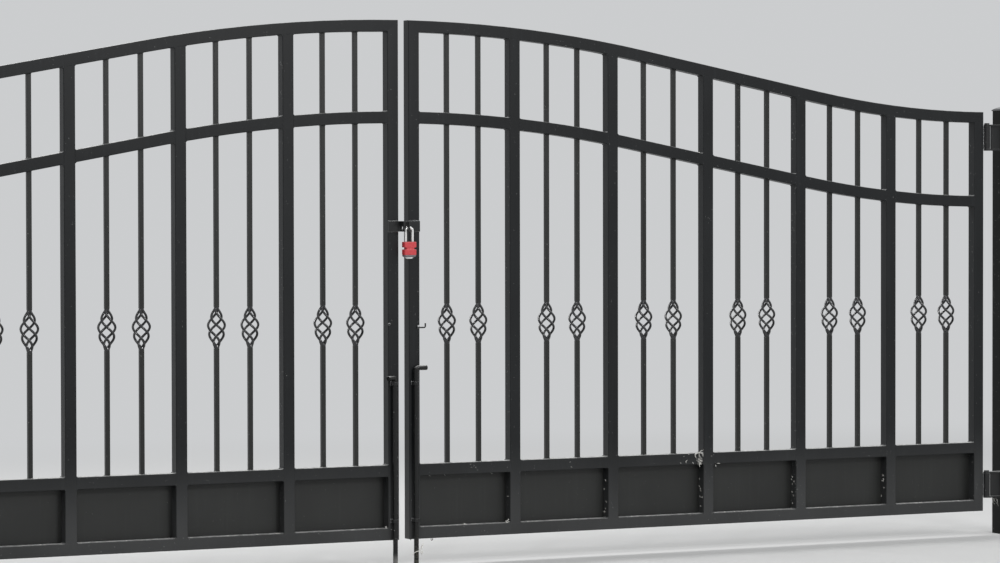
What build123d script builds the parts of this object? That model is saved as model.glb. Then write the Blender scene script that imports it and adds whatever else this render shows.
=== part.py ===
from build123d import *

import os
from math import acos, atan2, cos, hypot, pi, radians, sin, sqrt

# Double swing driveway gate with a bell-curve top.
# Two leaves of six bays hang on a square post each and meet over a drop rod apiece.
# All sizes are millimetres.
# While it is built, x runs from the middle of the gap between the leaves, y from the mid-plane
# of the leaves and z from their underside. The right post's foot becomes the origin on export.
# The front, with the rods, the lock tabs and the hinges, faces -y.

# Leaf layout
BAY_COUNT = 6
BAY_PITCH = 368.0
TUBE = 38.1
TUBE_WALL = 3.0
LEAF_GAP = 37.0
GROUND_CLEARANCE = 87.0

# Bell curve of the top rail, from the middle of the gate to its end
CROWN_HEIGHT = 1680.0
CROWN_DROP = 274.0
CROWN_RADIUS = 4900.0
FOOT_RADIUS = 3700.0
MIDDLE_RAIL_DEPTH = 295.0

# Kick panels at the foot
KICK_HEIGHT = 243.0
PANEL_THICKNESS = 3.0

# Pickets and the twisted basket in each of them
PICKET = 14.3
PICKETS_PER_BAY = 2
BASKET_CENTRE = 697.0
BASKET_CAGE = 119.0
BASKET_NECK = 6.0
BASKET_WIDTH = 61.5
STRAND = 7.9
STRAND_COUNT = 4
STRAND_SIDES = 6
STRAND_STEPS = 9
STRAND_ROOT = 3.0
STRAND_GAP = 1.0
BASKET_START = 55.0
BASKET_TWIST = 288.0

# Posts and their caps
POST_SIDE = 101.6
POST_WALL = 4.0
POST_BASE = 6.0
POST_RISE = 6.0
POST_GAP = 85.5
CAP_WALL = 2.5
CAP_PLUG = 12.0
CAP_LIP = 3.0
CAP_CORNER = 4.0
CAP_RISE = 17.0
CAP_FIT = 0.2
CAP_LEVELS = (0, 20, 40, 60, 80)
CAP_ROUNDING = 0.9

# Hinges
HINGE_STANDOFF = 14.0
LOWER_HINGE_BOTTOM = 46.0
UPPER_HINGE_DROP = 136.0
HINGE_HEIGHT = 92.0
BARREL_DIAMETER = 23.0
HINGE_PIN = 12.0
HINGE_PLATE = 6.0
HINGE_STRAP = 10.0
HINGE_RUNNING_GAP = 0.3
HINGE_CLEARANCE = 5.0
PIN_HEAD = 18.0
PIN_HEAD_HEIGHT = 5.0

# Drop rods, their guides and the hooks that hold them up
ROD = 15.9
ROD_GAP = 0.4
ROD_STANDOFF = 11.0
ROD_BEND = 9.5
ROD_HANDLE = 39.0
ROD_GROUND_GAP = 5.0
RIGHT_HANDLE = 556.0
LEFT_HANDLE = 524.0
LEFT_HANDLE_TURN = 60.0
GUIDE_HEIGHT = 10.0
UPPER_GUIDE = 501.0
LOWER_GUIDE = 57.0
HOOK = 5.0
RIGHT_HOOK = 686.0
LEFT_HOOK = 698.0
HOOK_REACH = 19.0
HOOK_TIP = 14.0
HOOK_BEND = 5.0
HOOK_INSET = 3.5
HOOK_ROOT = 10.0

# Lock tabs
TAB_BOTTOM = 997.0
TAB_HEIGHT = 34.0
TAB_PLATE = 4.8
TAB_REACH = 32.0
TAB_HOLE = 14.0
TAB_HOLE_HEIGHT = 12.0
TAB_HOLE_DISTANCE = 19.0
RIGHT_EAR = 0.5
LEFT_EAR = 13.0

# Padlock on the right leaf's tab
PADLOCK_WIDTH = 43.0
PADLOCK_HEIGHT = 43.0
PADLOCK_DEPTH = 24.0
PADLOCK_CORNER = 4.0
PADLOCK_BUMPER = 12.0
PADLOCK_NOTCH = 6.2
PADLOCK_NOTCH_DEPTH = 7.5
PADLOCK_LIP = 5.0
PADLOCK_LIP_WIDTH = 26.0
PADLOCK_LIP_DEPTH = 17.0
PADLOCK_LIP_CORNER = 6.0
PADLOCK_OFFSET = 5.1
SHACKLE = 7.5
SHACKLE_WIDTH = 32.0
SHACKLE_DROP = 34.0
SHACKLE_SEAT = 0.3

# Places that follow from the sizes above
LEAF_INNER = LEAF_GAP / 2
LEAF_OUTER = LEAF_INNER + BAY_COUNT * BAY_PITCH + TUBE
STILE_CENTRE = LEAF_INNER + TUBE / 2
FRONT = -TUBE / 2
BACK = TUBE / 2
POST_FACE = LEAF_OUTER + POST_GAP
POST_CENTRE = POST_FACE + POST_SIDE / 2
HINGE_X = LEAF_OUTER + HINGE_STANDOFF
ROD_Y = FRONT - ROD_STANDOFF
ROD_FOOT = ROD_GROUND_GAP - GROUND_CLEARANCE
ABOVE_ALL = CROWN_HEIGHT + TUBE
LEAF_END = CROWN_HEIGHT - CROWN_DROP
POST_TOP = LEAF_END + POST_RISE
UPPER_HINGE_BOTTOM = LEAF_END - UPPER_HINGE_DROP

# Tangent angle of the straight stretch between the crown arc and the foot arc
BOTH_RADII = CROWN_RADIUS + FOOT_RADIUS
CURVE_ANGLE = (atan2(LEAF_OUTER, BOTH_RADII - CROWN_DROP)
               - acos(BOTH_RADII / hypot(BOTH_RADII - CROWN_DROP, LEAF_OUTER)))


def block(x_span, y_span, z_span):
    """Box between two x, two y and two z."""
    low = Vector(x_span[0], y_span[0], z_span[0])
    high = Vector(x_span[1], y_span[1], z_span[1])
    size = high - low
    return Pos(*((low + high) * 0.5)) * Box(size.X, size.Y, size.Z)


def window(x_low, x_high, z_low, z_high):
    """Rectangle in the leaf's plane, as a flat profile."""
    middle = Pos((x_low + x_high) / 2, (z_low + z_high) / 2)
    return middle * Rectangle(x_high - x_low, z_high - z_low)


def upright_prism(profile, depth):
    """Profile of the leaf's plane, made depth thick about the mid-plane."""
    return extrude(Plane.XZ * profile, amount=depth / 2, both=True)


def tube(outside, inside):
    """Hollow rail or upright from its outer profile and the profile of its bore."""
    return upright_prism(outside, TUBE) - upright_prism(inside, TUBE - 2 * TUBE_WALL)


def curve_points(depth):
    """Ends and middles of the three stretches of the bell curve, at a depth below its top line."""
    crown = CROWN_RADIUS - depth
    foot = FOOT_RADIUS + depth
    crown_centre = CROWN_HEIGHT - CROWN_RADIUS
    foot_centre = LEAF_END + FOOT_RADIUS

    def on_crown(angle):
        return (crown * sin(angle), crown_centre + crown * cos(angle))

    def on_foot(angle):
        return (LEAF_OUTER - foot * sin(angle), foot_centre - foot * cos(angle))

    crown_arc = [on_crown(angle) for angle in (0, CURVE_ANGLE / 2, CURVE_ANGLE)]
    foot_arc = [on_foot(angle) for angle in (CURVE_ANGLE, CURVE_ANGLE / 2, 0)]
    return crown_arc, foot_arc


def curve_height(x, depth):
    """Height of the bell curve above the leaf's underside, at x."""
    crown_arc, foot_arc = curve_points(depth)
    (x_low, z_low), (x_high, z_high) = crown_arc[-1], foot_arc[0]
    if x <= x_low:
        return CROWN_HEIGHT - CROWN_RADIUS + sqrt((CROWN_RADIUS - depth) ** 2 - x ** 2)
    if x >= x_high:
        foot_centre = LEAF_END + FOOT_RADIUS
        return foot_centre - sqrt((FOOT_RADIUS + depth) ** 2 - (LEAF_OUTER - x) ** 2)
    return z_low + (z_high - z_low) * (x - x_low) / (x_high - x_low)


def under_curve(depth):
    """Profile of all that lies under the bell curve, at a depth below its top line."""
    crown_arc, foot_arc = curve_points(depth)
    edges = [
        ThreePointArc(*crown_arc),
        Line(crown_arc[-1], foot_arc[0]),
        ThreePointArc(*foot_arc),
        Polyline(foot_arc[-1], (LEAF_OUTER, 0), (0, 0), crown_arc[0]),
    ]
    return make_face(edges)


def band(depth_low, depth_high):
    """Profile between two lines that run along the bell curve."""
    return under_curve(depth_low) - under_curve(depth_high)


def upright_x(index):
    """Middle of an upright, counted from the meeting stile."""
    return STILE_CENTRE + index * BAY_PITCH


def bay_span(index):
    """Clear span of a bay, between the sides of its two uprights."""
    return upright_x(index) + TUBE / 2, upright_x(index + 1) - TUBE / 2


def picket_places():
    """Middle of each picket: equal clear gaps in every bay."""
    places = []
    for index in range(BAY_COUNT):
        low, high = bay_span(index)
        gap = (high - low - PICKETS_PER_BAY * PICKET) / (PICKETS_PER_BAY + 1)
        for number in range(PICKETS_PER_BAY):
            places.append(low + gap + PICKET / 2 + number * (gap + PICKET))
    return places


def joined(profiles):
    """Several flat profiles as one."""
    result = Sketch()
    for profile in profiles:
        result += profile
    return result


def stile_profile(x_outer, x_inner):
    """Meeting or hinge stile: square foot, and a mitre where the top rail meets it."""
    outer_top = (x_outer, curve_height(x_outer, 0))
    inner_top = (x_inner, curve_height(x_inner, TUBE))
    return make_face(Polyline((x_outer, 0), (x_inner, 0), inner_top, outer_top, close=True))


def stile_bore(profile, x_outer, x_inner):
    """Bore of a stile, closed at the foot and open at the mitre."""
    x_low, x_high = sorted((x_outer, x_inner))
    return profile & window(x_low + TUBE_WALL, x_high - TUBE_WALL, TUBE_WALL, ABOVE_ALL)


def meeting_stile():
    edges = (LEAF_INNER, LEAF_INNER + TUBE)
    profile = stile_profile(*edges)
    return tube(profile, stile_bore(profile, *edges))


def hinge_stile():
    edges = (LEAF_OUTER, LEAF_OUTER - TUBE)
    profile = stile_profile(*edges)
    return tube(profile, stile_bore(profile, *edges))


def top_rail():
    """Continuous curved tube from mitre to mitre."""
    mitres = (stile_profile(LEAF_INNER, LEAF_INNER + TUBE)
              + stile_profile(LEAF_OUTER, LEAF_OUTER - TUBE))
    length = window(LEAF_INNER, LEAF_OUTER, 0, ABOVE_ALL)
    outside = (band(0, TUBE) & length) - mitres
    inside = (band(TUBE_WALL, TUBE - TUBE_WALL) & length) - mitres
    return tube(outside, inside)


def bay_windows(z_low, z_high):
    """One window for each bay, between the sides of the uprights."""
    return joined(window(*bay_span(index), z_low, z_high) for index in range(BAY_COUNT))


def middle_rail():
    """Curved rail in six lengths, each butted between two uprights."""
    bays = bay_windows(0, ABOVE_ALL)
    depth = MIDDLE_RAIL_DEPTH
    outside = band(depth, depth + TUBE) & bays
    inside = band(depth + TUBE_WALL, depth + TUBE - TUBE_WALL) & bays
    return tube(outside, inside)


def lower_rail():
    """Straight rail over the kick panels, in six lengths."""
    outside = bay_windows(KICK_HEIGHT - TUBE, KICK_HEIGHT)
    inside = bay_windows(KICK_HEIGHT - TUBE + TUBE_WALL, KICK_HEIGHT - TUBE_WALL)
    return tube(outside, inside)


def bottom_rail():
    """Straight rail from stile to stile, under the uprights."""
    x_low, x_high = LEAF_INNER + TUBE, LEAF_OUTER - TUBE
    return tube(window(x_low, x_high, 0, TUBE),
                window(x_low, x_high, TUBE_WALL, TUBE - TUBE_WALL))


def uprights():
    """The inner uprights, from the bottom rail to the top rail's underside."""
    roof = under_curve(TUBE)
    places = [upright_x(index) for index in range(1, BAY_COUNT)]

    def columns(half):
        return joined(window(x - half, x + half, TUBE, ABOVE_ALL) for x in places)

    return tube(columns(TUBE / 2) & roof, columns(TUBE / 2 - TUBE_WALL) & roof)


def kick_panels():
    """One sheet in each bay, flush with the back of the leaf."""
    sheets = bay_windows(TUBE, KICK_HEIGHT - TUBE)
    return Pos(0, BACK, 0) * extrude(Plane.XZ * sheets, amount=PANEL_THICKNESS)


def pickets():
    """Square bars: rail to basket, basket to middle rail, and middle rail to top rail."""
    basket_half = BASKET_CAGE / 2 + BASKET_NECK
    columns = joined(window(x - PICKET / 2, x + PICKET / 2, KICK_HEIGHT, ABOVE_ALL)
                     for x in picket_places())
    across = window(0, LEAF_OUTER, BASKET_CENTRE - basket_half, BASKET_CENTRE + basket_half)
    below = (columns & under_curve(MIDDLE_RAIL_DEPTH + TUBE)) - across
    above = columns & band(TUBE, MIDDLE_RAIL_DEPTH)
    return upright_prism(below + above, PICKET)


def strand(quarter):
    """One bar of a basket, bowed out from the neck and twisted left-handed."""
    neck = (STRAND + STRAND_GAP) / 2 / sin(pi / STRAND_COUNT)
    bulge = (BASKET_WIDTH - STRAND) / 2

    def point(share):
        angle = radians(BASKET_START - BASKET_TWIST * share + quarter * 360 / STRAND_COUNT)
        radius = neck + (bulge - neck) * sin(pi * share)
        height = BASKET_CENTRE + (share - 0.5) * BASKET_CAGE
        return Vector(radius * cos(angle), radius * sin(angle), height)

    root = Vector(0, 0, STRAND_ROOT)
    cage = [point(step / STRAND_STEPS) for step in range(STRAND_STEPS + 1)]
    route = [cage[0] - root] + cage + [cage[-1] + root]
    section = Plane(origin=route[0], z_dir=(0, 0, 1)) * RegularPolygon(STRAND / 2, STRAND_SIDES)
    return sweep(section, path=Polyline(*route), transition=Transition.RIGHT)


def basket():
    """Cage of twisted bars between two necks."""
    cage = BASKET_CAGE / 2
    neck = Box(PICKET, PICKET, BASKET_NECK)
    result = Pos(0, 0, BASKET_CENTRE - cage - BASKET_NECK / 2) * neck
    result += Pos(0, 0, BASKET_CENTRE + cage + BASKET_NECK / 2) * neck
    for quarter in range(STRAND_COUNT):
        result += strand(quarter)
    return result


def baskets(direction):
    """A basket in every picket. Their twist is the same on both leaves."""
    cage = basket()
    return Compound(children=[Pos(direction * x, 0, 0) * cage.solid() for x in picket_places()])


def upright_rod(diameter, z_low, z_high):
    """Round bar along z, on the axis."""
    return Pos(0, 0, (z_low + z_high) / 2) * Cylinder(diameter / 2, z_high - z_low)


def hinge_bottoms():
    return LOWER_HINGE_BOTTOM, UPPER_HINGE_BOTTOM


def hinge_barrels():
    """Two barrels, each with a strap to the side of the hinge stile."""
    result = Part()
    for bottom in hinge_bottoms():
        z_low = bottom + HINGE_PLATE + HINGE_RUNNING_GAP
        z_high = bottom + HINGE_HEIGHT - HINGE_PLATE - HINGE_RUNNING_GAP
        barrel = upright_rod(BARREL_DIAMETER, z_low, z_high)
        barrel += block((-HINGE_STANDOFF, 0), (0, HINGE_STRAP), (z_low, z_high))
        barrel -= upright_rod(HINGE_PIN + 2 * HINGE_RUNNING_GAP, z_low, z_high)
        result += Pos(HINGE_X, FRONT, 0) * barrel
    return result


def hinge_bracket(bottom):
    """Two ears and a web that reach from the post's side to the pin through the barrel."""
    top = bottom + HINGE_HEIGHT
    reach = POST_FACE - HINGE_X
    half = BARREL_DIAMETER / 2
    result = block((half + HINGE_CLEARANCE, reach), (-HINGE_PLATE / 2, HINGE_PLATE / 2),
                   (bottom, top))
    for z_low in (bottom, top - HINGE_PLATE):
        ear = (z_low, z_low + HINGE_PLATE)
        result += block((0, reach), (-half, half), ear)
        result += upright_rod(BARREL_DIAMETER, *ear)
    result += upright_rod(HINGE_PIN, bottom, top)
    result += upright_rod(PIN_HEAD, top, top + PIN_HEAD_HEIGHT)
    return Pos(HINGE_X, FRONT, 0) * result


def rod_guides():
    """Upper and lower guide rings, on the front of the meeting stile."""
    result = Part()
    for bottom in (LOWER_GUIDE, UPPER_GUIDE):
        span = (bottom, bottom + GUIDE_HEIGHT)
        guide = upright_rod(2 * ROD_STANDOFF, *span)
        guide += block((-ROD_STANDOFF, ROD_STANDOFF), (0, ROD_STANDOFF), span)
        guide -= upright_rod(ROD + 2 * ROD_GAP, *span)
        result += Pos(STILE_CENTRE, ROD_Y, 0) * guide
    return result


def bent_bar(diameter, corners, bend):
    """Round bar along a path of straight runs with a rounded corner."""
    path = FilletPolyline(*corners, radius=bend)
    start = Plane(origin=path @ 0, z_dir=path % 0)
    return sweep(start * Circle(diameter / 2), path=path)


def drop_rod(handle_height, handle_way):
    """Rod from just over the ground to an L handle that points along handle_way."""
    corner = Vector(0, 0, handle_height)
    return bent_bar(ROD, [(0, 0, ROD_FOOT), corner, corner + handle_way * ROD_HANDLE], ROD_BEND)


def right_hook():
    """Wire hook that lies across the right stile's front and turns up beside it."""
    y = FRONT - HOOK / 2
    start = Vector(LEAF_INNER + TUBE - HOOK_ROOT, y, RIGHT_HOOK)
    elbow = Vector(LEAF_INNER + TUBE + HOOK_REACH, y, RIGHT_HOOK)
    return bent_bar(HOOK, [start, elbow, elbow + Vector(0, 0, HOOK_TIP)], HOOK_BEND)


def left_hook():
    """Wire hook that stands out of the left stile's front and turns up."""
    x = -(LEAF_INNER + TUBE - HOOK_INSET)
    start = Vector(x, FRONT, LEFT_HOOK)
    elbow = Vector(x, FRONT - HOOK_REACH, LEFT_HOOK)
    return bent_bar(HOOK, [start, elbow, elbow + Vector(0, 0, HOOK_TIP)], HOOK_BEND)


def tab_hole():
    """Centre of the hole in a lock tab's ear: y and z."""
    return FRONT - TAB_PLATE - TAB_HOLE_DISTANCE, TAB_BOTTOM + TAB_HOLE_HEIGHT


def lock_tab(ear_low, ear_high, stile_edge):
    """Plate on the front of a stile, reaching over the gap to an ear with a hole."""
    z_span = (TAB_BOTTOM, TAB_BOTTOM + TAB_HEIGHT)
    plate_x = (min(ear_low, stile_edge), max(ear_high, stile_edge))
    plate = block(plate_x, (FRONT - TAB_PLATE, FRONT), z_span)
    ear = block((ear_low, ear_high), (FRONT - TAB_PLATE - TAB_REACH, FRONT), z_span)
    y, z = tab_hole()
    bore = Pos((ear_low + ear_high) / 2, y, z) * Rot(0, 90, 0) * Cylinder(TAB_HOLE / 2, 4 * TAB_PLATE)
    return plate + ear - bore


def right_lock_tab():
    return lock_tab(RIGHT_EAR, RIGHT_EAR + TAB_PLATE, LEAF_INNER + TUBE)


def left_lock_tab():
    return lock_tab(-LEFT_EAR - TAB_PLATE, -LEFT_EAR, -LEAF_INNER - TUBE)


def shackle_centre():
    """Centre of the shackle's bow, which hangs on the lower edge of the right ear's hole."""
    x = RIGHT_EAR + TAB_PLATE / 2 + PADLOCK_OFFSET
    y, z = tab_hole()
    inner = SHACKLE_WIDTH / 2 - SHACKLE
    reach = x - RIGHT_EAR
    return Vector(x, y, z - TAB_HOLE / 2 + SHACKLE_SEAT - sqrt(inner ** 2 - reach ** 2))


def padlock_shackle():
    """U of round bar, its legs standing on the padlock's body."""
    radius = (SHACKLE_WIDTH - SHACKLE) / 2
    centre = shackle_centre()
    foot = Vector(0, 0, -SHACKLE_DROP)
    side = Vector(radius, 0, 0)
    crown = centre + Vector(0, 0, radius)
    path = (Line(centre - side + foot, centre - side)
            + ThreePointArc(centre - side, crown, centre + side)
            + Line(centre + side, centre + side + foot))
    start = Plane(origin=centre - side + foot, z_dir=(0, 0, 1))
    return sweep(start * Circle(SHACKLE / 2), path=path)


def padlock_part(outline, z_low, z_high):
    """Slice of the padlock with a rounded outline: its width, its depth and its corner."""
    centre = shackle_centre()
    face = RectangleRounded(*outline)
    return Pos(centre.X, centre.Y, z_low) * extrude(face, amount=z_high - z_low)


def padlock_body():
    """Body in two bands, with a notch between them at both sides."""
    centre = shackle_centre()
    top = centre.Z - SHACKLE_DROP
    middle = top - PADLOCK_HEIGHT / 2
    result = padlock_part((PADLOCK_WIDTH, PADLOCK_DEPTH, PADLOCK_CORNER), top - PADLOCK_HEIGHT, top)
    notch = Box(2 * PADLOCK_NOTCH_DEPTH, 2 * PADLOCK_DEPTH, PADLOCK_NOTCH)
    for way in (-1, 1):
        result -= Pos(centre.X + way * PADLOCK_WIDTH / 2, centre.Y, middle) * notch
    return result


def padlock_bumper():
    """Foot of the padlock, under its body, with a narrower lip below."""
    top = shackle_centre().Z - SHACKLE_DROP - PADLOCK_HEIGHT
    low = top - PADLOCK_BUMPER
    foot = padlock_part((PADLOCK_WIDTH, PADLOCK_DEPTH, PADLOCK_CORNER), low + PADLOCK_LIP, top)
    lip = padlock_part((PADLOCK_LIP_WIDTH, PADLOCK_LIP_DEPTH, PADLOCK_LIP_CORNER),
                       low, low + PADLOCK_LIP)
    return foot + lip


def post():
    """Square tube on a closed foot."""
    half = POST_SIDE / 2
    bore = half - POST_WALL
    foot = -GROUND_CLEARANCE
    outside = block((-half, half), (-half, half), (foot, POST_TOP))
    inside = block((-bore, bore), (-bore, bore), (foot + POST_BASE, POST_TOP))
    return Pos(POST_CENTRE, 0, 0) * (outside - inside)


def dome_level(angle):
    """Rounded square across the cap's dome, at an angle up its elliptical side in degrees."""
    side = (POST_SIDE + 2 * CAP_LIP) * cos(radians(angle))
    rounding = sin(radians(angle))
    corner = CAP_CORNER + (CAP_ROUNDING * side / 2 - CAP_CORNER) * rounding
    return Pos(0, 0, CAP_WALL + CAP_RISE * rounding) * RectangleRounded(side, side, corner)


def post_cap():
    """Domed cap: a rim on the post's top, a dome over it and a plug in the bore below."""
    side = POST_SIDE + 2 * CAP_LIP
    outer = POST_SIDE - 2 * (POST_WALL + CAP_FIT)
    inner = outer - 2 * CAP_WALL
    plug = extrude(Rectangle(outer, outer) - Rectangle(inner, inner), amount=-CAP_PLUG)
    rim = extrude(RectangleRounded(side, side, CAP_CORNER), amount=CAP_WALL)
    dome = loft([dome_level(angle) for angle in CAP_LEVELS], ruled=True)
    return Pos(POST_CENTRE, 0, POST_TOP) * (plug + rim + dome)


def mirrored(shape):
    """Left-hand twin of a piece of the right side."""
    return mirror(shape, about=Plane.YZ)


def save(name, shape):
    """Write a piece with the foot of the right post at the origin."""
    export_step(Pos(-POST_CENTRE, 0, GROUND_CLEARANCE) * shape, f"parts/{name}.step")


os.makedirs("parts", exist_ok=True)

TWINS = {
    "top_rail": top_rail(),
    "middle_rail": middle_rail(),
    "lower_rail": lower_rail(),
    "bottom_rail": bottom_rail(),
    "meeting_stile": meeting_stile(),
    "hinge_stile": hinge_stile(),
    "uprights": uprights(),
    "kick_panels": kick_panels(),
    "pickets": pickets(),
    "hinge_barrels": hinge_barrels(),
    "rod_guides": rod_guides(),
    "post": post(),
    "post_cap": post_cap(),
    "lower_hinge_bracket": hinge_bracket(LOWER_HINGE_BOTTOM),
    "upper_hinge_bracket": hinge_bracket(UPPER_HINGE_BOTTOM),
}
for twin_name, twin in TWINS.items():
    save("right_" + twin_name, twin)
    save("left_" + twin_name, mirrored(twin))

save("right_baskets", baskets(1))
save("left_baskets", baskets(-1))
save("right_drop_rod", Pos(STILE_CENTRE, ROD_Y, 0) * drop_rod(RIGHT_HANDLE, Vector(1, 0, 0)))
turn = radians(LEFT_HANDLE_TURN)
turned = Vector(-sin(turn), -cos(turn), 0)
save("left_drop_rod", Pos(-STILE_CENTRE, ROD_Y, 0) * drop_rod(LEFT_HANDLE, turned))
save("right_rod_hook", right_hook())
save("left_rod_hook", left_hook())
save("right_lock_tab", right_lock_tab())
save("left_lock_tab", left_lock_tab())
save("padlock_shackle", padlock_shackle())
save("padlock_body", padlock_body())
save("padlock_bumper", padlock_bumper())
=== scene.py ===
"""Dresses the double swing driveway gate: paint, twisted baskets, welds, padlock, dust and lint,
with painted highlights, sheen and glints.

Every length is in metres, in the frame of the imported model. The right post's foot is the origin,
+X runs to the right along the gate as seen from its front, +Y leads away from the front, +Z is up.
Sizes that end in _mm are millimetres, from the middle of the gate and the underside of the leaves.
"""

from __future__ import annotations

import logging
import math
import random
from dataclasses import dataclass
from enum import Enum
from typing import Callable, Iterable, Sequence

import bmesh
import bpy
from mathutils import Matrix, Vector

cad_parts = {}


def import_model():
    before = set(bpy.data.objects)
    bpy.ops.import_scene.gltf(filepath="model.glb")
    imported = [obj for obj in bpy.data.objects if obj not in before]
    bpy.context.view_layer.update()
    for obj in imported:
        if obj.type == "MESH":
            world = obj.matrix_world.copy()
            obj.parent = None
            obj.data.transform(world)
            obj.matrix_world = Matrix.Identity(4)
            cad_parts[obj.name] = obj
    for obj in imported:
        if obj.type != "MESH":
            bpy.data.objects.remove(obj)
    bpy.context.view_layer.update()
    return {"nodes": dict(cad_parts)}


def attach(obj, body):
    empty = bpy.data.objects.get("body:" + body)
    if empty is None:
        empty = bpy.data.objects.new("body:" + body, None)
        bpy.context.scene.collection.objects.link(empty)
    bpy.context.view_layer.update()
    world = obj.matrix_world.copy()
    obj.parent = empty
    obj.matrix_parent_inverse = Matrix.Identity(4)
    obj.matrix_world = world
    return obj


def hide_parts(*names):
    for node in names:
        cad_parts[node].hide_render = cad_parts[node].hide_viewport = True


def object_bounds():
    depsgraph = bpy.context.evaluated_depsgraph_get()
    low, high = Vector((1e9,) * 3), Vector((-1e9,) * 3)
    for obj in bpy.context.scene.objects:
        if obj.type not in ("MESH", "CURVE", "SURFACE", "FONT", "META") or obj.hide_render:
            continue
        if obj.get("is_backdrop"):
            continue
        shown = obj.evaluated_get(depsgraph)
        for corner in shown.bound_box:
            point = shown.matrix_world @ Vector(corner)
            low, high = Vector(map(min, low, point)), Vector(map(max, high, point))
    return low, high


LOG = logging.getLogger("gate")
MM = 0.001
MERGE_DISTANCE = 2e-6
FLAT_ANGLE = math.radians(0.3)
BEVEL_ANGLE = math.radians(35)
SMOOTH_ANGLE = math.radians(50)
# Limits on one part of an edge's unit direction: it mostly runs that way, or hardly at all.
MOSTLY = 0.9
HARDLY = 0.2
# Part of a tube's depth over which a skin is a tube's outer one, and under which it is a bar's.
TUBE_SHARE = 0.95
BAR_SHARE = 0.5

Colour = tuple[float, float, float]
Line = list[Vector]
Level = tuple[float, float, float, float]
Socket = bpy.types.NodeSocket
Material = bpy.types.Material
MeshData = bpy.types.Mesh
Form = bmesh.types.BMesh


class Side(Enum):
    """The two halves of the gate, as seen from its front."""

    RIGHT = "right"
    LEFT = "left"

    @property
    def outward(self) -> int:
        """Way along X from the middle of the gate to this half's post."""
        return 1 if self is Side.RIGHT else -1

    @property
    def leaf(self) -> str:
        """Name of this half's leaf body."""
        return f"{self.value}_leaf"

    @property
    def rod(self) -> str:
        """Name of this half's drop rod body."""
        return f"{self.value}_rod"

    def node(self, name: str) -> str:
        """Name of one of this half's CAD nodes."""
        return f"{self.value}_{name}"


class EdgeRule(Enum):
    """Which sharp outer edges of a copied piece are rounded."""

    UPRIGHT = "edges along Z"
    ALONG = "edges along the run of a rail"
    ALL = "every edge"

    def takes(self, way: Vector) -> bool:
        """Whether an edge of this direction is rounded."""
        if self is EdgeRule.UPRIGHT:
            return abs(way.z) > MOSTLY
        if self is EdgeRule.ALONG:
            return abs(way.x) > MOSTLY and abs(way.y) < HARDLY
        return True


@dataclass(frozen=True)
class GatePlan:
    """Sizes of the frame that several sub-assemblies share, in millimetres."""

    bays: int = 6
    bay_pitch: float = 368.0
    tube: float = 38.1
    leaf_inner: float = 18.5
    post_centre: float = 2400.9
    post_face: float = 2350.1
    ground_clearance: float = 87.0
    kick_height: float = 243.0
    basket_centre: float = 697.0
    leaf_end: float = 1406.0

    @property
    def front(self) -> float:
        """Y of the leaves' front."""
        return -self.tube / 2

    @property
    def back(self) -> float:
        """Y of the leaves' back."""
        return self.tube / 2

    @property
    def leaf_outer(self) -> float:
        """X of a leaf's edge at its hinges."""
        return self.leaf_inner + self.bays * self.bay_pitch + self.tube

    @property
    def stile_centre(self) -> float:
        """X of the middle of a meeting stile."""
        return self.leaf_inner + self.tube / 2

    @property
    def stile_edge(self) -> float:
        """X of a meeting stile's edge beside its first bay."""
        return self.leaf_inner + self.tube

    def place(self, x: float, y: float, z: float) -> Vector:
        """Point in metres from millimetres about the gate's middle and the leaves' underside."""
        return Vector(((x - self.post_centre) * MM, y * MM, (z + self.ground_clearance) * MM))

    def bay_sides(self, index: int) -> tuple[float, float]:
        """X of the two sides of a bay's clear opening, on the right half."""
        first = self.stile_edge + index * self.bay_pitch
        return first, first + self.bay_pitch - self.tube


PLAN = GatePlan()


# Shader and geometry trees


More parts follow.
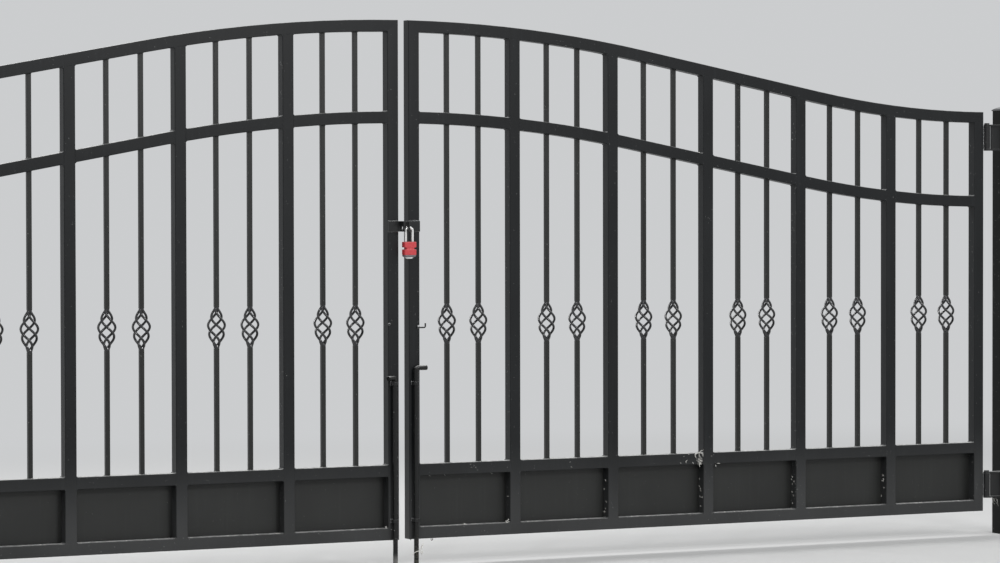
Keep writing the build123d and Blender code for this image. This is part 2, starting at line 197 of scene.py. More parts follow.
class Graph:
    """Adds and joins nodes in one node tree."""

    def __init__(self, tree: bpy.types.NodeTree) -> None:
        """Keep the tree.

        Args:
            tree: Shader or geometry tree to build in.
        """
        self.tree = tree
        self.count = 0

    def set(self, socket: Socket, value) -> None:
        """Join an input to an output socket, or give it a value."""
        if isinstance(value, Socket):
            self.tree.links.new(value, socket)
        else:
            socket.default_value = value

    def add(self, kind: str, inputs: dict | None = None, **settings) -> bpy.types.Node:
        """Add one node.

        Args:
            kind: Blender's name of the node type.
            inputs: Socket name or number to a value or to an output socket.
            **settings: Attributes to set on the node before its inputs.

        Returns:
            The new node.
        """
        node = self.tree.nodes.new(kind)
        node.location = (190 * (self.count % 12), -240 * (self.count // 12))
        self.count += 1
        for name, value in settings.items():
            setattr(node, name, value)
        for key, value in (inputs or {}).items():
            self.set(node.inputs[key], value)
        return node

    def math(self, operation: str, *values) -> Socket:
        """Add a math node.

        Args:
            operation: Name of the operation.
            *values: One to three values or sockets.

        Returns:
            The result's socket.
        """
        return self.add("ShaderNodeMath", dict(enumerate(values)), operation=operation).outputs[0]

    def mul(self, first, second) -> Socket:
        """Product of two values."""
        return self.math("MULTIPLY", first, second)

    def sub(self, first, second) -> Socket:
        """Difference of two values."""
        return self.math("SUBTRACT", first, second)

    def div(self, first, second) -> Socket:
        """Quotient of two values."""
        return self.math("DIVIDE", first, second)

    def fma(self, value, factor, added) -> Socket:
        """A value times a factor, plus a third value."""
        return self.math("MULTIPLY_ADD", value, factor, added)

    def vector_math(self, operation: str, *values) -> Socket:
        """Vector from a vector math node on vectors or sockets."""
        inputs = dict(enumerate(values))
        return self.add("ShaderNodeVectorMath", inputs, operation=operation).outputs[0]

    def scaled(self, vector, factor) -> Socket:
        """A vector times a value."""
        inputs = {"Vector": vector, "Scale": factor}
        return self.add("ShaderNodeVectorMath", inputs, operation="SCALE").outputs[0]

    def vector(self, x=0.0, y=0.0, z=0.0) -> Socket:
        """Vector from three values or sockets."""
        return self.add("ShaderNodeCombineXYZ", {0: x, 1: y, 2: z}).outputs[0]

    def split(self, vector) -> bpy.types.bpy_prop_collection:
        """The X, Y and Z sockets of a vector."""
        return self.add("ShaderNodeSeparateXYZ", {0: vector}).outputs

    def ramp(self, value, low: float, high: float) -> Socket:
        """Map a value smoothly from 0 at low to 1 at high.

        Args:
            value: Socket to map.
            low: Value that gives 0.
            high: Value that gives 1.

        Returns:
            The mapped value's socket.
        """
        inputs = {"Value": value, "From Min": low, "From Max": high}
        node = self.add("ShaderNodeMapRange", inputs, interpolation_type="SMOOTHSTEP", clamp=True)
        return node.outputs["Result"]

    def noise(self, place, scale, detail: float = 3.0,
              rough: float = 0.55) -> Socket:
        """Noise from 0 to 1 at a place.

        Args:
            place: Socket of the place.
            scale: Cells in a metre.
            detail: Octaves.
            rough: Weight of the finer octaves.

        Returns:
            The noise's socket.
        """
        inputs = {"Vector": place, "Scale": scale, "Detail": detail, "Roughness": rough}
        return self.add("ShaderNodeTexNoise", inputs).outputs["Fac"]

    def blend(self, share, first, second) -> Socket:
        """Mix two colours.

        Args:
            share: How much of the second colour shows.
            first: First colour or socket.
            second: Second colour or socket.

        Returns:
            The mixed colour's socket.
        """
        node = self.add("ShaderNodeMix", {0: share, 6: first, 7: second}, data_type="RGBA")
        return node.outputs[2]


def opaque(colour: Colour) -> tuple[float, float, float, float]:
    """Colour with a full alpha."""
    return (*colour, 1.0)


def shader_group(name: str, floats: dict[str, float],
                 build: Callable[[Graph, bpy.types.NodeOutputs], Socket]) -> bpy.types.NodeTree:
    """Make a shader node group that turns a place into one value.

    Args:
        name: Name of the group.
        floats: Its number inputs and their defaults, besides the Vector input.
        build: Takes the graph and the input sockets, and returns the value's socket.

    Returns:
        The group.
    """
    group = bpy.data.node_groups.new(name, "ShaderNodeTree")
    group.interface.new_socket("Vector", in_out="INPUT", socket_type="NodeSocketVector")
    for label, default in floats.items():
        socket = group.interface.new_socket(label, in_out="INPUT", socket_type="NodeSocketFloat")
        socket.default_value = default
    group.interface.new_socket("Value", in_out="OUTPUT", socket_type="NodeSocketFloat")
    graph = Graph(group)
    given = graph.add("NodeGroupInput").outputs
    graph.add("NodeGroupOutput", {"Value": build(graph, given)})
    return group


class Effects:
    """Shader groups that several finishes share, each built once."""

    def __init__(self) -> None:
        """Build the groups."""
        self.dust_and_top_highlight = shader_group("Dust and top highlight", {"Amount": 0.5}, self._dust_and_top_highlight)
        self.specks = shader_group("Fine specks", {"Spacing": 0.006, "Share": 0.05}, self._specks)
        self.streaks = shader_group("Rain streaks", {"Width": 0.012, "Amount": 0.3}, self._streaks)
        self.patches = shader_group("Broad patches", {"Size": 0.3, "Contrast": 1.0}, self._patches)
        self.peel = shader_group("Orange peel", {"Size": 0.0022}, self._peel)

    @staticmethod
    def _dust_and_top_highlight(graph: Graph, given) -> Socket:
        """Dust that lies on faces that look up, thinner in patches; in a pale colour it also
        paints the highlight along the tops.
        """
        upward = graph.split(graph.add("ShaderNodeTexCoord").outputs["Normal"])["Z"]
        thin = graph.ramp(graph.noise(given["Vector"], 60.0, detail=4.0, rough=0.6), 0.1, 0.66)
        return graph.mul(graph.mul(graph.ramp(upward, 0.25, 0.9), thin), given["Amount"])

    @staticmethod
    def _specks(graph: Graph, given) -> Socket:
        """Small round specks in some of the cells, gathered in loose groups."""
        scale = graph.div(1.0, given["Spacing"])
        cells = graph.add("ShaderNodeTexVoronoi", {"Vector": given["Vector"], "Scale": scale})
        chosen = graph.split(cells.outputs["Color"])
        crowd = graph.ramp(graph.noise(given["Vector"], 14.0, detail=2.0), 0.42, 0.7)
        share = graph.mul(given["Share"], graph.fma(crowd, 3.0, 0.35))
        kept = graph.math("GREATER_THAN", chosen["X"], graph.sub(1.0, share))
        size = graph.fma(chosen["Y"], 0.2, 0.06)
        return graph.mul(kept, graph.math("LESS_THAN", cells.outputs["Distance"], size))

    @staticmethod
    def _streaks(graph: Graph, given) -> Socket:
        """Faint upright runs left by rain."""
        across = graph.div(1.0, given["Width"])
        along = graph.mul(across, 0.035)
        place = graph.vector_math("MULTIPLY", given["Vector"], graph.vector(across, across, along))
        return graph.mul(graph.ramp(graph.noise(place, 1.0), 0.5, 0.78), given["Amount"])

    @staticmethod
    def _patches(graph: Graph, given) -> Socket:
        """Broad soft variation about zero."""
        scale = graph.div(1.0, given["Size"])
        value = graph.noise(given["Vector"], scale, 3.0, 0.5)
        return graph.mul(graph.sub(value, 0.5), given["Contrast"])

    @staticmethod
    def _peel(graph: Graph, given) -> Socket:
        """Height of the fine waviness of a sprayed coat."""
        return graph.noise(given["Vector"], graph.div(1.0, given["Size"]), 1.5)


class MaterialDesk:
    """One material in the making: its graph, its shader and the shared effects."""

    def __init__(self, name: str, effects: Effects) -> None:
        """Make an empty node material.

        Args:
            name: Name of the material.
            effects: The shared shader groups.
        """
        self.effects = effects
        self.material = bpy.data.materials.new(name)
        self.material.use_nodes = True
        self.material.node_tree.nodes.clear()
        self.graph = Graph(self.material.node_tree)
        self.shader = self.graph.add("ShaderNodeBsdfPrincipled")
        self.graph.add("ShaderNodeOutputMaterial", {"Surface": self.shader.outputs[0]})
        self.place = self.graph.add("ShaderNodeTexCoord").outputs["Object"]

    def effect(self, group: bpy.types.NodeTree, **values: float) -> Socket:
        """Place one of the shared groups.

        Args:
            group: The group.
            **values: Its number inputs by name.

        Returns:
            The socket of the group's value.
        """
        node = self.graph.add("ShaderNodeGroup", node_tree=group)
        self.graph.set(node.inputs["Vector"], self.place)
        for label, value in values.items():
            node.inputs[label].default_value = value
        return node.outputs["Value"]

    def put(self, **values) -> None:
        """Set or join inputs of the shader, with _ for a space in their names."""
        for label, value in values.items():
            self.graph.set(self.shader.inputs[label.replace("_", " ")], value)

    def bump(self, height, distance: float) -> None:
        """Join a height to the shader's normal."""
        node = self.graph.add("ShaderNodeBump", {"Height": height, "Distance": distance})
        self.put(Normal=node.outputs[0])


# Finishes


@dataclass(frozen=True)
class Finish:
    """A look that makes its own material."""

    name: str

    def build(self, effects: Effects) -> Material:
        """Make the material.

        Args:
            effects: The shared shader groups.

        Returns:
            The finished material.
        """
        desk = MaterialDesk(self.name, effects)
        self.paint(desk, desk.graph, effects)
        return desk.material

    def paint(self, desk: MaterialDesk, graph: Graph, effects: Effects) -> None:
        """Join up the shader.

        Args:
            desk: The material in the making.
            graph: Its graph.
            effects: The shared shader groups.
        """
        raise NotImplementedError


@dataclass(frozen=True)
class SatinPaint(Finish):
    """Satin coat with dust, specks, rain streaks, a splashed film low down and an orange peel. Its
    pale dust also paints highlights on the tops, and a painted sheen in a slanting view.
    """

    colour: Colour
    roughness: float = 0.36
    dust_and_highlight: float = 0.8
    specks: float = 0.045
    speck_spacing: float = 0.005
    streaks: float = 0.25
    tone_size: float = 0.35
    peel_height: float = 0.00005
    specular: float = 0.3
    # pale dust colour, which also paints the highlights along the tops
    dust_and_highlight_colour: Colour = (0.50, 0.495, 0.47)
    # film: splashed dust low down, which also paints the ground's reflection on the lower parts
    film_and_reflection: float = 0.0
    film_full_below: float = 0.12
    film_gone_above: float = 0.42

    def paint(self, desk: MaterialDesk, graph: Graph, effects: Effects) -> None:
        """Cover the toned coat with dust, film and specks; the dust is a painted sheen where it
        grows in a slanting view, and a painted highlight on the tops.
        """
        facing = graph.add("ShaderNodeLayerWeight", {"Blend": 0.5}).outputs["Facing"]
        # painted sheen: the pale dust colour shows most in a slanting view
        slant = graph.fma(graph.math("POWER", facing, 3.0), 0.8, 0.2)
        dust_and_highlight = graph.mul(slant, desk.effect(effects.dust_and_top_highlight, Amount=self.dust_and_highlight))
        specks = desk.effect(effects.specks, Spacing=self.speck_spacing, Share=self.specks)
        streaks = desk.effect(effects.streaks, Amount=self.streaks)
        tone = desk.effect(effects.patches, Size=self.tone_size, Contrast=0.9)
        toned = graph.scaled(self.colour, graph.fma(streaks, 1.6, graph.math("ADD", tone, 1.0)))
        # lighter low down: splashed dust and a painted reflection of the ground
        high = graph.ramp(graph.split(desk.place)["Z"], self.film_full_below, self.film_gone_above)
        film_and_reflection = graph.mul(graph.sub(1.0, high), graph.fma(tone, self.film_and_reflection, self.film_and_reflection))
        # dust, film and specks together, with the painted sheen and highlights
        dirt_and_sheen = graph.math("MAXIMUM", graph.math("MAXIMUM", dust_and_highlight, film_and_reflection), graph.mul(specks, 0.5))
        rough = graph.fma(dirt_and_sheen, 0.12, self.roughness)
        desk.put(Base_Color=graph.blend(dirt_and_sheen, toned, opaque(self.dust_and_highlight_colour)),
                 Roughness=graph.fma(tone, 0.2, rough), Specular_IOR_Level=self.specular)
        desk.bump(graph.fma(specks, 2.0, desk.effect(effects.peel)), self.peel_height)


@dataclass(frozen=True)
class WornSteelRod(Finish):
    """Brushed-on black over a steel rod, rubbed bare and rusty towards its foot. Pale dust on top
    paints the handle's top highlight, and a pale bare colour paints a bare foot's sheen.
    """

    bare_metal_and_sheen: Colour
    rust: Colour
    worn_below: float
    sound_above: float = 0.14
    flaked_from: float = 0.42
    flaked_to: float = 0.6
    colour: Colour = (0.010, 0.0105, 0.0105)
    dust_and_highlight_colour: Colour = (0.66, 0.66, 0.65)
    specular: float = 0.28

    def paint(self, desk: MaterialDesk, graph: Graph, effects: Effects) -> None:
        """Show stained metal through the flaked coat low down, and dust on the handle, which, pale
        and kept to the very top, also paints its top highlight.
        """
        height = graph.split(desk.place)["Z"]
        low = graph.sub(1.0, graph.ramp(height, self.worn_below, self.sound_above))
        flakes = graph.noise(desk.place, 130.0, detail=4.0, rough=0.65)
        worn = graph.mul(low, graph.ramp(flakes, self.flaked_from, self.flaked_to))
        stain = graph.ramp(graph.noise(desk.place, 75.0), 0.4, 0.65)
        # stained bare metal; its pale colours on the left rod also paint the foot's sheen
        metal_and_sheen = graph.blend(stain, opaque(self.bare_metal_and_sheen), opaque(self.rust))
        # painted highlight: pale dust kept to the very top of the handle
        dust_and_highlight = graph.math("POWER", desk.effect(effects.dust_and_top_highlight, Amount=1.0), 2.5)
        specks = graph.mul(desk.effect(effects.specks, Spacing=0.005, Share=0.05), 0.5)
        coat = graph.blend(graph.math("MAXIMUM", dust_and_highlight, specks), opaque(self.colour),
                           opaque(self.dust_and_highlight_colour))
        desk.put(Base_Color=graph.blend(worn, coat, metal_and_sheen), Roughness=graph.fma(worn, 0.25, 0.2),
                 Specular_IOR_Level=self.specular)
        desk.bump(graph.fma(worn, -1.0, desk.effect(effects.peel)), 0.00012)


@dataclass(frozen=True)
class RedCoat(Finish):
    """Red coating on the padlock's block, sun-bleached on top and chipped in places."""

    name: str = "padlock_red_coat"
    colour: Colour = (0.52, 0.030, 0.040)
    bleached: Colour = (0.66, 0.09, 0.085)
    faded: Colour = (0.62, 0.20, 0.18)
    chipped: Colour = (0.32, 0.30, 0.28)

    def paint(self, desk: MaterialDesk, graph: Graph, effects: Effects) -> None:
        """Mottle the red, fade its top and chip it, under a thin clear coat."""
        mottle = graph.ramp(graph.noise(desk.place, 190.0), 0.3, 0.75)
        tint = graph.blend(graph.mul(mottle, 0.35), opaque(self.colour), opaque(self.bleached))
        top = desk.effect(effects.dust_and_top_highlight, Amount=0.85)
        chips = graph.mul(desk.effect(effects.specks, Spacing=0.0028, Share=0.05), 0.7)
        colour = graph.blend(top, tint, opaque(self.faded))
        desk.put(Base_Color=graph.blend(chips, colour, opaque(self.chipped)),
                 Roughness=graph.fma(mottle, 0.12, 0.3), Coat_Weight=0.4, Coat_Roughness=0.2)
        desk.bump(graph.sub(desk.effect(effects.peel, Size=0.0015), chips), 0.00004)


@dataclass(frozen=True)
class MouldedGrey(Finish):
    """Scuffed dark grey moulding."""

    name: str = "padlock_grey_moulding"
    colour: Colour = (0.14, 0.13, 0.14)
    scuffed: Colour = (0.26, 0.25, 0.25)

    def paint(self, desk: MaterialDesk, graph: Graph, effects: Effects) -> None:
        """Pale scuffs that are rougher than the moulding."""
        scuffs = graph.ramp(graph.noise(desk.place, 320.0, detail=4.0, rough=0.65), 0.5, 0.72)
        colour = graph.blend(graph.mul(scuffs, 0.5), opaque(self.colour), opaque(self.scuffed))
        desk.put(Base_Color=colour, Roughness=graph.fma(scuffs, 0.2, 0.5))
        desk.bump(desk.effect(effects.peel, Size=0.0009), 0.00004)


@dataclass(frozen=True)
class PlatedSteel(Finish):
    """Bright plating with fine rubbed lines and a few dull spots."""

    metallic: float
    colour: Colour = (0.88, 0.875, 0.86)
    dull: Colour = (0.55, 0.53, 0.49)

    def paint(self, desk: MaterialDesk, graph: Graph, effects: Effects) -> None:
        """Dull spots in the colour, and rubbed lines in the sheen."""
        lines = graph.vector_math("MULTIPLY", desk.place, (900.0, 900.0, 60.0))
        rubbed = graph.noise(lines, 1.0, detail=2.0)
        painted_glints = graph.ramp(graph.noise(desk.place, 240.0), 0.56, 0.7)
        colour = graph.blend(graph.mul(painted_glints, 0.6), opaque(self.colour), opaque(self.dull))
        desk.put(Base_Color=colour, Roughness=graph.fma(rubbed, 0.16, 0.2),
                 Metallic=self.metallic)
        desk.bump(rubbed, 0.00001)


@dataclass(frozen=True)
class DryFibre(Finish):
    """Dry fibres, wisps of web or crumbs of debris, in two tones."""

    colour: Colour
    dark: Colour

    def paint(self, desk: MaterialDesk, graph: Graph, effects: Effects) -> None:
        """Mix the two tones in fine patches."""
        mix = graph.ramp(graph.noise(desk.place, 260.0), 0.35, 0.75)
        desk.put(Base_Color=graph.blend(mix, opaque(self.colour), opaque(self.dark)),
                 Roughness=graph.fma(mix, 0.2, 0.7))


LOOKS: dict[str, Finish] = {
    # frame: its pale dust also paints the bright highlight along the tops of the rails
    "frame": SatinPaint("frame_paint_satin", (0.0066, 0.0076, 0.0084), roughness=0.42, dust_and_highlight=0.95,
                        specular=0.25, film_and_reflection=0.045, dust_and_highlight_colour=(0.70, 0.70, 0.69)),
    "panel": SatinPaint("kick_panel_paint", (0.0132, 0.0140, 0.0130), roughness=0.44,
                        streaks=0.15, specks=0.02, tone_size=0.22, specular=0.42),
    "picket": SatinPaint("picket_paint_satin", (0.0130, 0.0138, 0.0128), roughness=0.38,
                         specks=0.03, specular=0.35),
    "basket": SatinPaint("basket_paint_gloss", (0.0070, 0.0075, 0.0090), roughness=0.16,
                         dust_and_highlight=0.35, specks=0.02, peel_height=0.00003, specular=0.8),
    "post": SatinPaint("post_paint_satin", (0.0032, 0.0037, 0.0031), roughness=0.42, specks=0.05,
                       tone_size=0.5, specular=0.12),
    # cap: the paler coat and pale dusty top also paint the sky's reflection on the dome
    "cap": SatinPaint("post_cap_gloss_painted_reflection", (0.030, 0.032, 0.034), roughness=0.2, specks=0.03,
                      specular=0.9, dust_and_highlight_colour=(0.60, 0.60, 0.60)),
    # hardware: its pale dust also paints highlights along the top edges of the plates
    "hardware": SatinPaint("hardware_paint_brushed", (0.0090, 0.0095, 0.0098), roughness=0.3,
                           dust_and_highlight=0.95, specks=0.05, peel_height=0.00012, specular=0.4,
                           dust_and_highlight_colour=(0.66, 0.66, 0.655)),
    # weld: the pale coat, dense pale specks and pale dust also paint dotted glints along the beads
    "weld_and_glints": SatinPaint("hardware_weld_paint_and_glints", (0.040, 0.041, 0.042), roughness=0.14, dust_and_highlight=1.0,
                       specks=0.9, speck_spacing=0.004, specular=1.0,
                       dust_and_highlight_colour=(0.78, 0.78, 0.78)),
    # painted glint: a pale finish for small spots that stand for glints on welds
    "painted_glint": SatinPaint("weld_painted_glint", (0.42, 0.42, 0.43), roughness=0.25, dust_and_highlight=1.0, specks=0.02,
                       specular=1.0, dust_and_highlight_colour=(0.80, 0.80, 0.80)),
    "right_rod": WornSteelRod("right_rod_finish", bare_metal_and_sheen=(0.055, 0.055, 0.045),
                              rust=(0.035, 0.030, 0.020), worn_below=0.02),
    # left rod: its pale bare and rust colours also paint the sheen of its bare foot
    "left_rod": WornSteelRod("left_rod_finish_painted_sheen", bare_metal_and_sheen=(0.20, 0.198, 0.19),
                             rust=(0.15, 0.145, 0.135), worn_below=0.012, sound_above=0.05,
                             flaked_from=0.1, flaked_to=0.3),
    "red": RedCoat(),
    "grey": MouldedGrey(),
    "steel": PlatedSteel("plated_steel", metallic=0.65),
    "lip": PlatedSteel("padlock_bright_lip", metallic=0.3, colour=(0.94, 0.94, 0.93),
                       dull=(0.82, 0.81, 0.79)),
    "fibre": DryFibre("dry_fibre", (0.90, 0.89, 0.85), (0.54, 0.52, 0.47)),
    "debris": DryFibre("dark_debris", (0.085, 0.06, 0.04), (0.03, 0.02, 0.014)),
}


# Geometry Nodes


def harvest(carrier: bpy.types.Object, name: str) -> MeshData:
    """Plain mesh of an object with its modifiers applied.

    Args:
        carrier: The object, which is removed.
        name: Name of the mesh.

    Returns:
        The mesh.
    """
    bpy.context.scene.collection.objects.link(carrier)
    graph = bpy.context.evaluated_depsgraph_get()
    mesh = bpy.data.meshes.new_from_object(carrier.evaluated_get(graph), depsgraph=graph)
    mesh.name = name
    bpy.data.objects.remove(carrier)
    return mesh


class GrowthTree:
    """A geometry tree with named inputs that turns guide geometry into a finished mesh."""

    NAME: str
    INPUTS: dict[str, float]

    def __init__(self) -> None:
        """Build the tree."""
        self.tree = bpy.data.node_groups.new(self.NAME, "GeometryNodeTree")
        face = self.tree.interface
        face.new_socket("Geometry", in_out="INPUT", socket_type="NodeSocketGeometry")
        for label, default in self.INPUTS.items():
            kind = "NodeSocketInt" if isinstance(default, int) else "NodeSocketFloat"
            face.new_socket(label, in_out="INPUT", socket_type=kind).default_value = default
        face.new_socket("Finish", in_out="INPUT", socket_type="NodeSocketMaterial")
        face.new_socket("Geometry", in_out="OUTPUT", socket_type="NodeSocketGeometry")
        self.graph = Graph(self.tree)
        self.given = self.graph.add("NodeGroupInput").outputs
        smooth = self.out("GeometryNodeSetShadeSmooth", Geometry=self.build())
        real = self.out("GeometryNodeRealizeInstances", Geometry=smooth)
        dressed = self.out("GeometryNodeSetMaterial", Geometry=real,
                           Material=self.given["Finish"])
        self.graph.add("NodeGroupOutput", {0: dressed})

    def out(self, kind: str, settings: dict | None = None, **inputs) -> Socket:
        """First output of a new node.

        Args:
            kind: Blender's name of the node type.
            settings: Attributes to set on the node.
            **inputs: Values or sockets of its inputs, with _ for a space in their names.

        Returns:
            The output's socket.
        """
        named = {label.replace("_", " "): value for label, value in inputs.items()}
        return self.graph.add(kind, named, **(settings or {})).outputs[0]

    def build(self) -> Socket:
        """Build the part that differs from tree to tree, and return its geometry."""
        raise NotImplementedError

    def shaken(self, reach: str, scale: float, detail: float) -> Socket:
        """Curves along the guide's edges, cut into steps and shaken by noise.

        Args:
            reach: Name of the input that says how far they are shaken.
            scale: Cells of the noise in a metre.
            detail: Its octaves.

        Returns:
            The curves' socket.
        """
        graph, given = self.graph, self.given
        curve = self.out("GeometryNodeMeshToCurve", Mesh=given["Geometry"])
        fine = self.out("GeometryNodeResampleCurve", {"mode": "LENGTH"}, Curve=curve,
                        Length=given["Step"])
        place = self.out("GeometryNodeInputPosition")
        inputs = {"Vector": place, "Scale": scale, "Detail": detail}
        cloud = graph.add("ShaderNodeTexNoise", inputs).outputs["Color"]
        shift = graph.scaled(graph.vector_math("SUBTRACT", cloud, (0.5, 0.5, 0.5)), given[reach])
        return self.out("GeometryNodeSetPosition", Geometry=fine, Offset=shift)

    def straight(self, start, end, count: int) -> Socket:
        """Straight curve between two points, cut into a number of points."""
        line = self.out("GeometryNodeCurvePrimitiveLine", Start=start, End=end)
        return self.out("GeometryNodeResampleCurve", Curve=line, Count=count)

    def hump(self, share) -> Socket:
        """Half a sine: 0 where a share is 0 or 1, and 1 halfway."""
        return self.graph.math("SINE", self.graph.mul(share, math.pi))

    def sweep(self, curve, section, size=1.0) -> Socket:
        """Closed bar of a section along a curve."""
        return self.out("GeometryNodeCurveToMesh", Curve=curve, Profile_Curve=section, Scale=size,
                        Fill_Caps=True)

    def round_bar(self, curve, sides: int, radius, size=1.0) -> Socket:
        """Closed round bar along a curve."""
        circle = self.out("GeometryNodeCurvePrimitiveCircle", Resolution=sides, Radius=radius)
        return self.sweep(curve, circle, size)

    def grow(self, name: str, guide: MeshData, finish: Material, **values: float) -> MeshData:
        """Run the tree on a guide and keep the result as a plain mesh.

        Args:
            name: Name of the new mesh.
            guide: Mesh whose points or edges the tree starts from.
            finish: Material of the result.
            **values: Values of the named inputs.

        Returns:
            The new mesh.
        """
        carrier = bpy.data.objects.new(name + "_guide", guide)
        modifier = carrier.modifiers.new("growth", "NODES")
        modifier.node_group = self.tree
        wanted = {**values, "Finish": finish}
        for item in self.tree.interface.items_tree:
            if item.item_type == "SOCKET" and item.in_out == "INPUT" and item.name in wanted:
                modifier[item.identifier] = wanted[item.name]
        mesh = harvest(carrier, name)
        mesh.materials.clear()
        mesh.materials.append(finish)
        mesh.polygons.foreach_set("material_index", [0] * len(mesh.polygons))
        return mesh


class WeldTree(GrowthTree):
    """Rippled weld beads along the edges of a guide."""

    NAME = "Weld beads"
    INPUTS = {"Radius": 0.0022, "Step": 0.0016, "Ripple": 0.14, "Pitch": 0.0042,
              "Wander": 0.0006}

    def build(self) -> Socket:
        """Sweep a small round section whose size ripples along each line."""
        graph, given = self.graph, self.given
        run = graph.add("GeometryNodeSplineParameter").outputs["Length"]
        turns = graph.div(graph.mul(run, math.tau), given["Pitch"])
        place = self.out("GeometryNodeInputPosition")
        lump = graph.sub(graph.noise(place, 230.0, detail=1.0), 0.5)
        ripple = graph.fma(graph.math("SINE", turns), given["Ripple"], 1.0)
        return self.round_bar(self.shaken("Wander", scale=160.0, detail=2.0), 7, given["Radius"],
                              graph.fma(lump, 0.7, ripple))


class BasketTree(GrowthTree):
    """A twisted basket at every point of a guide."""

    NAME = "Twisted baskets"
    INPUTS = {"Cage height": 0.119, "Root": 0.004, "Neck radius": 0.0054,
              "Bulge radius": 0.0268, "Bar": 0.0079, "Picket": 0.0143, "Neck height": 0.006,
              "Start angle": math.radians(55), "Twist": math.radians(288), "Bars": 4}
    BAR_POINTS = 45
    BAR_SIDES = 10
    NECK_POINTS = 9
    NECK_SIDES = 16
    NECK_CORNER = 0.0022

    def build(self) -> Socket:
        """Bow and twist one bar, set the bars round the axis, and add a neck at both ends."""
        join = self.graph.add("GeometryNodeJoinGeometry")
        for part in (self._bars(), self._neck(1.0), self._neck(-1.0)):
            self.graph.tree.links.new(part, join.inputs[0])
        return self.out("GeometryNodeInstanceOnPoints", Points=self.given["Geometry"],
                        Instance=join.outputs[0])

    def _bars(self) -> Socket:
        """The twisted bars of one basket about the origin."""
        graph, given = self.graph, self.given
        factor = graph.add("GeometryNodeSplineParameter").outputs["Factor"]
        margin = graph.div(given["Root"], given["Cage height"])
        share = graph.sub(graph.mul(factor, graph.fma(margin, 2.0, 1.0)), margin)
        within = graph.math("MINIMUM", graph.math("MAXIMUM", share, 0.0), 1.0)
        swell = graph.sub(given["Bulge radius"], given["Neck radius"])
        radius = graph.fma(self.hump(within), swell, given["Neck radius"])
        angle = graph.sub(given["Start angle"], graph.mul(given["Twist"], share))
        point = graph.vector(graph.mul(radius, graph.math("COSINE", angle)),
                             graph.mul(radius, graph.math("SINE", angle)),
                             graph.mul(graph.sub(share, 0.5), given["Cage height"]))
        line = self.straight((0, 0, 0), (0, 0, 1), self.BAR_POINTS)
        bent = self.out("GeometryNodeSetPosition", Geometry=line, Position=point)
        bar = self.round_bar(bent, self.BAR_SIDES, graph.mul(given["Bar"], 0.5))
        ring = self.out("GeometryNodeMeshLine", Count=given["Bars"], Offset=(0, 0, 0))
        number = self.out("GeometryNodeInputIndex")
        turn = graph.div(graph.mul(number, math.tau), given["Bars"])
        spin = self.out("FunctionNodeAxisAngleToRotation", Axis=(0, 0, 1), Angle=turn)
        return self.out("GeometryNodeInstanceOnPoints", Points=ring, Instance=bar, Rotation=spin)

    def _neck(self, way: float) -> Socket:
        """Square end of the picket, eased where the bars run into it."""
        graph, given = self.graph, self.given
        inner = graph.mul(given["Cage height"], 0.5 * way)
        start = graph.sub(inner, graph.mul(given["Neck height"], 0.6 * way))
        end = graph.fma(given["Neck height"], 1.02 * way, inner)
        line = self.straight(graph.vector(z=start), graph.vector(z=end), self.NECK_POINTS)
        factor = graph.add("GeometryNodeSplineParameter").outputs["Factor"]
        size = graph.fma(self.hump(factor), 0.06, graph.fma(factor, 0.22, 0.78))
        square = self.out("GeometryNodeCurvePrimitiveQuadrilateral", Width=given["Picket"],
                          Height=given["Picket"])
        rounded = self.out("GeometryNodeFilletCurve", Curve=square, Radius=self.NECK_CORNER)
        section = self.out("GeometryNodeResampleCurve", Curve=rounded, Count=self.NECK_SIDES)
        return self.sweep(line, section, size)


class FibreTree(GrowthTree):
    """Thin curling fibres along the edges of a guide."""

    NAME = "Dry fibres"
    INPUTS = {"Radius": 0.0004, "Curl": 0.004, "Step": 0.0018}

    def build(self) -> Socket:
        """Shake each line about and sweep a small section along it, thinner at its ends."""
        factor = self.graph.add("GeometryNodeSplineParameter").outputs["Factor"]
        size = self.graph.fma(self.hump(factor), 0.65, 0.35)
        return self.round_bar(self.shaken("Curl", scale=120.0, detail=1.0), 4,
                              self.given["Radius"], size)


# Mesh work


def guide_lines(name: str, lines: Iterable[Line], closed: bool = False) -> MeshData:
    """Mesh of edges, one chain for each line.

    Args:
        name: Name of the mesh.
        lines: Points of each chain.
        closed: Whether each chain returns to its start.

    Returns:
        The mesh.
    """
    points: list[Vector] = []
    edges: list[tuple[int, int]] = []
    for line in lines:
        first = len(points)
        points.extend(line)
        edges.extend((first + i, first + i + 1) for i in range(len(line) - 1))
        if closed:
            edges.append((len(points) - 1, first))
    mesh = bpy.data.meshes.new(name)
    mesh.from_pydata(points, edges, [])
    return mesh


def parts_of(form: Form) -> list[list[Vector]]:
    """Points of each connected part of a form."""
    seen: set[bmesh.types.BMVert] = set()
    parts = []
    for start in form.verts:
        if start in seen:
            continue
        part, waiting = [], [start]
        seen.add(start)
        while waiting:
            vert = waiting.pop()
            part.append(vert.co.copy())
            for edge in vert.link_edges:
                other = edge.other_vert(vert)
                if other not in seen:
                    seen.add(other)
                    waiting.append(other)
        parts.append(part)
    return parts


@dataclass(frozen=True)
class BarEnd:
    """Corners of one end of a square bar, in order round it. The first two are at its front."""

    front_first: Vector
    front_second: Vector
    back_second: Vector
    back_first: Vector

    @property
    def ring(self) -> Line:
        """All four corners in order."""
        return [self.front_first, self.front_second, self.back_second, self.back_first]


